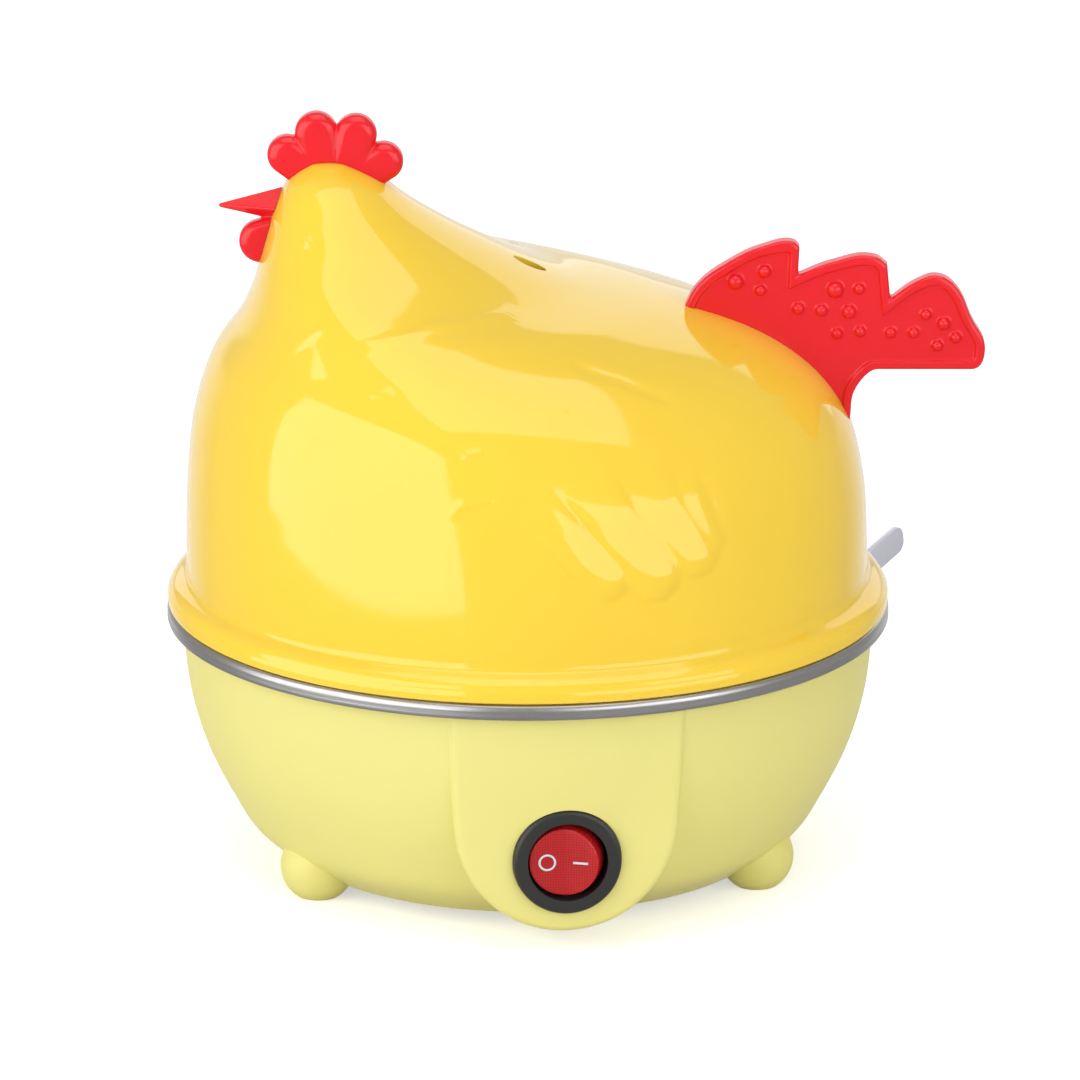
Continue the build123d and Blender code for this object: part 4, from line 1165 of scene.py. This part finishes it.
def on_rocker(x, y, z):
    """A place of the rocker, from its pivot, as it rests."""
    way_x, way_y = math.cos(rocker_turn), math.sin(rocker_turn)
    return (rocker_pivot[0] + x * way_x - y * way_y, rocker_pivot[1] + x * way_y + y * way_x,
            rocker_pivot[2] + z)


def rocker_face(x):
    """How far the face stands out of the pivot: lowest along its middle."""
    return -face_start - face_slope * (math.hypot(x, face_blend) - face_blend)


def make_rocker():
    turns = [(math.cos(2 * math.pi * i / 96), math.sin(2 * math.pi * i / 96)) for i in range(96)]
    rings = []
    for radius, drop in rocker_rim:
        rings.append([on_rocker(radius * x, rocker_face(radius * x) + drop, radius * z) for x, z in turns])
    for radius, y in rocker_flank:
        rings.append([on_rocker(radius * x, y, radius * z) for x, z in turns])
    rocker = ring_shell("lamp_rocker", rings)
    combine(rocker, lathe("rocker_pins", pin_line, on_rocker, 32), "UNION")
    smooth(rocker, 40)
    return settle(rocker, "rocker_red", "rocker", "switch_rocker")


def make_marks():
    deselect()
    bpy.ops.mesh.primitive_torus_add(major_radius=ring_radius, minor_radius=ring_thickness,
                                     major_segments=48, minor_segments=12)
    ring = bpy.context.object
    bar = block(*bar_size)
    apply_modifier(bar, "BEVEL", width=bar_edge, segments=3)
    for mark, place, flatness in ((ring, -mark_place, ring_flatness), (bar, mark_place, 1.0)):
        for vertex in mark.data.vertices:
            x, z, out = vertex.co
            x += place
            vertex.co = at(*on_rocker(x, rocker_face(x) - flatness * out, z))
    marks = join("switch_marks", [ring, bar])
    edit_all()
    close_edit()
    smooth(marks, 40)
    return settle(marks, "plug_white", "rocker")


make_rocker()
make_marks()


# Studio: a white floor, even room light, and large soft boxes with place, aim, width, height and brightness
room_light = 0.38
sweep_light = (0.7, 0.92, 0.0, 0.5)
sweep_top = (0.0, 0.08, 1.0, 0.0)
floor_colour = (0.85, 0.85, 0.85, 1)
floor_glow = (0.2, 0.9, 0.5, 0.8)
soft_boxes = {
    "box_left": ((-0.64, -0.43, 0.30), (0, 0, 0.30), 1.15, 0.78, 1.9),
    "box_right": ((0.62, -0.72, 0.34), (0, 0, 0.12), 1.0, 0.60, 1.75),
    "box_above": ((0.06, -0.15, 1.15), (0, 0, 0.1), 1.1, 1.0, 1.4),
    "box_behind": ((0.1, 1.2, 0.55), (0, 0, 0.1), 1.6, 0.8, 0.8),
}


def make_floor():
    deselect()
    bpy.ops.mesh.primitive_plane_add(size=8, location=(0, 0, 0))
    floor = bpy.context.object
    floor.name = "studio_floor"
    material = bpy.data.materials.new("studio_floor")
    material.use_nodes = True
    tree = material.node_tree
    shader = tree.nodes["Principled BSDF"]
    shader.inputs["Base Color"].default_value = floor_colour
    shader.inputs["Roughness"].default_value = 0.7
    glow = tree.nodes.new("ShaderNodeEmission")
    place = tree.nodes.new("ShaderNodeTexCoord")
    away = tree.nodes.new("ShaderNodeVectorMath")
    away.operation = "LENGTH"
    tree.links.new(place.outputs["Object"], away.inputs[0])
    tree.links.new(fade_node(tree, away.outputs["Value"], floor_glow), glow.inputs["Strength"])
    both = tree.nodes.new("ShaderNodeAddShader")
    path = tree.nodes.new("ShaderNodeLightPath")
    seen = tree.nodes.new("ShaderNodeMixShader")
    tree.links.new(shader.outputs["BSDF"], both.inputs[0])
    tree.links.new(glow.outputs["Emission"], both.inputs[1])
    tree.links.new(path.outputs["Is Camera Ray"], seen.inputs["Fac"])
    tree.links.new(shader.outputs["BSDF"], seen.inputs[1])
    tree.links.new(both.outputs["Shader"], seen.inputs[2])
    tree.links.new(seen.outputs["Shader"], tree.nodes["Material Output"].inputs["Surface"])
    floor.data.materials.append(material)
    floor.visible_glossy = False


def make_world():
    """Even room light, white to the camera, and in glossy surfaces a white sweep behind the object."""
    world = bpy.data.worlds.new("studio")
    bpy.context.scene.world = world
    world.use_nodes = True
    tree = world.node_tree
    light = tree.nodes["Background"]
    light.inputs["Color"].default_value = (1, 1, 1, 1)
    plain = tree.nodes.new("ShaderNodeBackground")
    plain.inputs["Strength"].default_value = 1.0
    plain.inputs["Color"].default_value = (1, 1, 1, 1)
    path = tree.nodes.new("ShaderNodeLightPath")
    way = tree.nodes.new("ShaderNodeTexCoord")
    x, y, z = split_node(tree, way.outputs["Generated"])
    glossy = path.outputs["Is Glossy Ray"]
    for direction, span in ((y, sweep_light), (z, sweep_top)):
        glossy = math_node(tree, "MULTIPLY", fade_node(tree, direction, span), glossy)
    tree.links.new(math_node(tree, "ADD", glossy, room_light), light.inputs["Strength"])
    mix = tree.nodes.new("ShaderNodeMixShader")
    tree.links.new(path.outputs["Is Camera Ray"], mix.inputs["Fac"])
    tree.links.new(light.outputs["Background"], mix.inputs[1])
    tree.links.new(plain.outputs["Background"], mix.inputs[2])
    tree.links.new(mix.outputs["Shader"], tree.nodes["World Output"].inputs["Surface"])


def soft_box(name, place, aim, width, height, brightness):
    """A lamp whose face has the given brightness, turned to the object."""
    deselect()
    spot = Vector(place)
    bpy.ops.object.light_add(type="AREA", location=spot)
    lamp = bpy.context.object
    lamp.name = name
    lamp.rotation_euler = (Vector(aim) - spot).to_track_quat("-Z", "Y").to_euler()
    lamp.data.shape = "RECTANGLE"
    lamp.data.size = width
    lamp.data.size_y = height
    lamp.data.energy = brightness * math.pi * width * height
    lamp.visible_camera = False


make_floor()
make_world()
for box_name, box_setting in soft_boxes.items():
    soft_box(box_name, *box_setting)
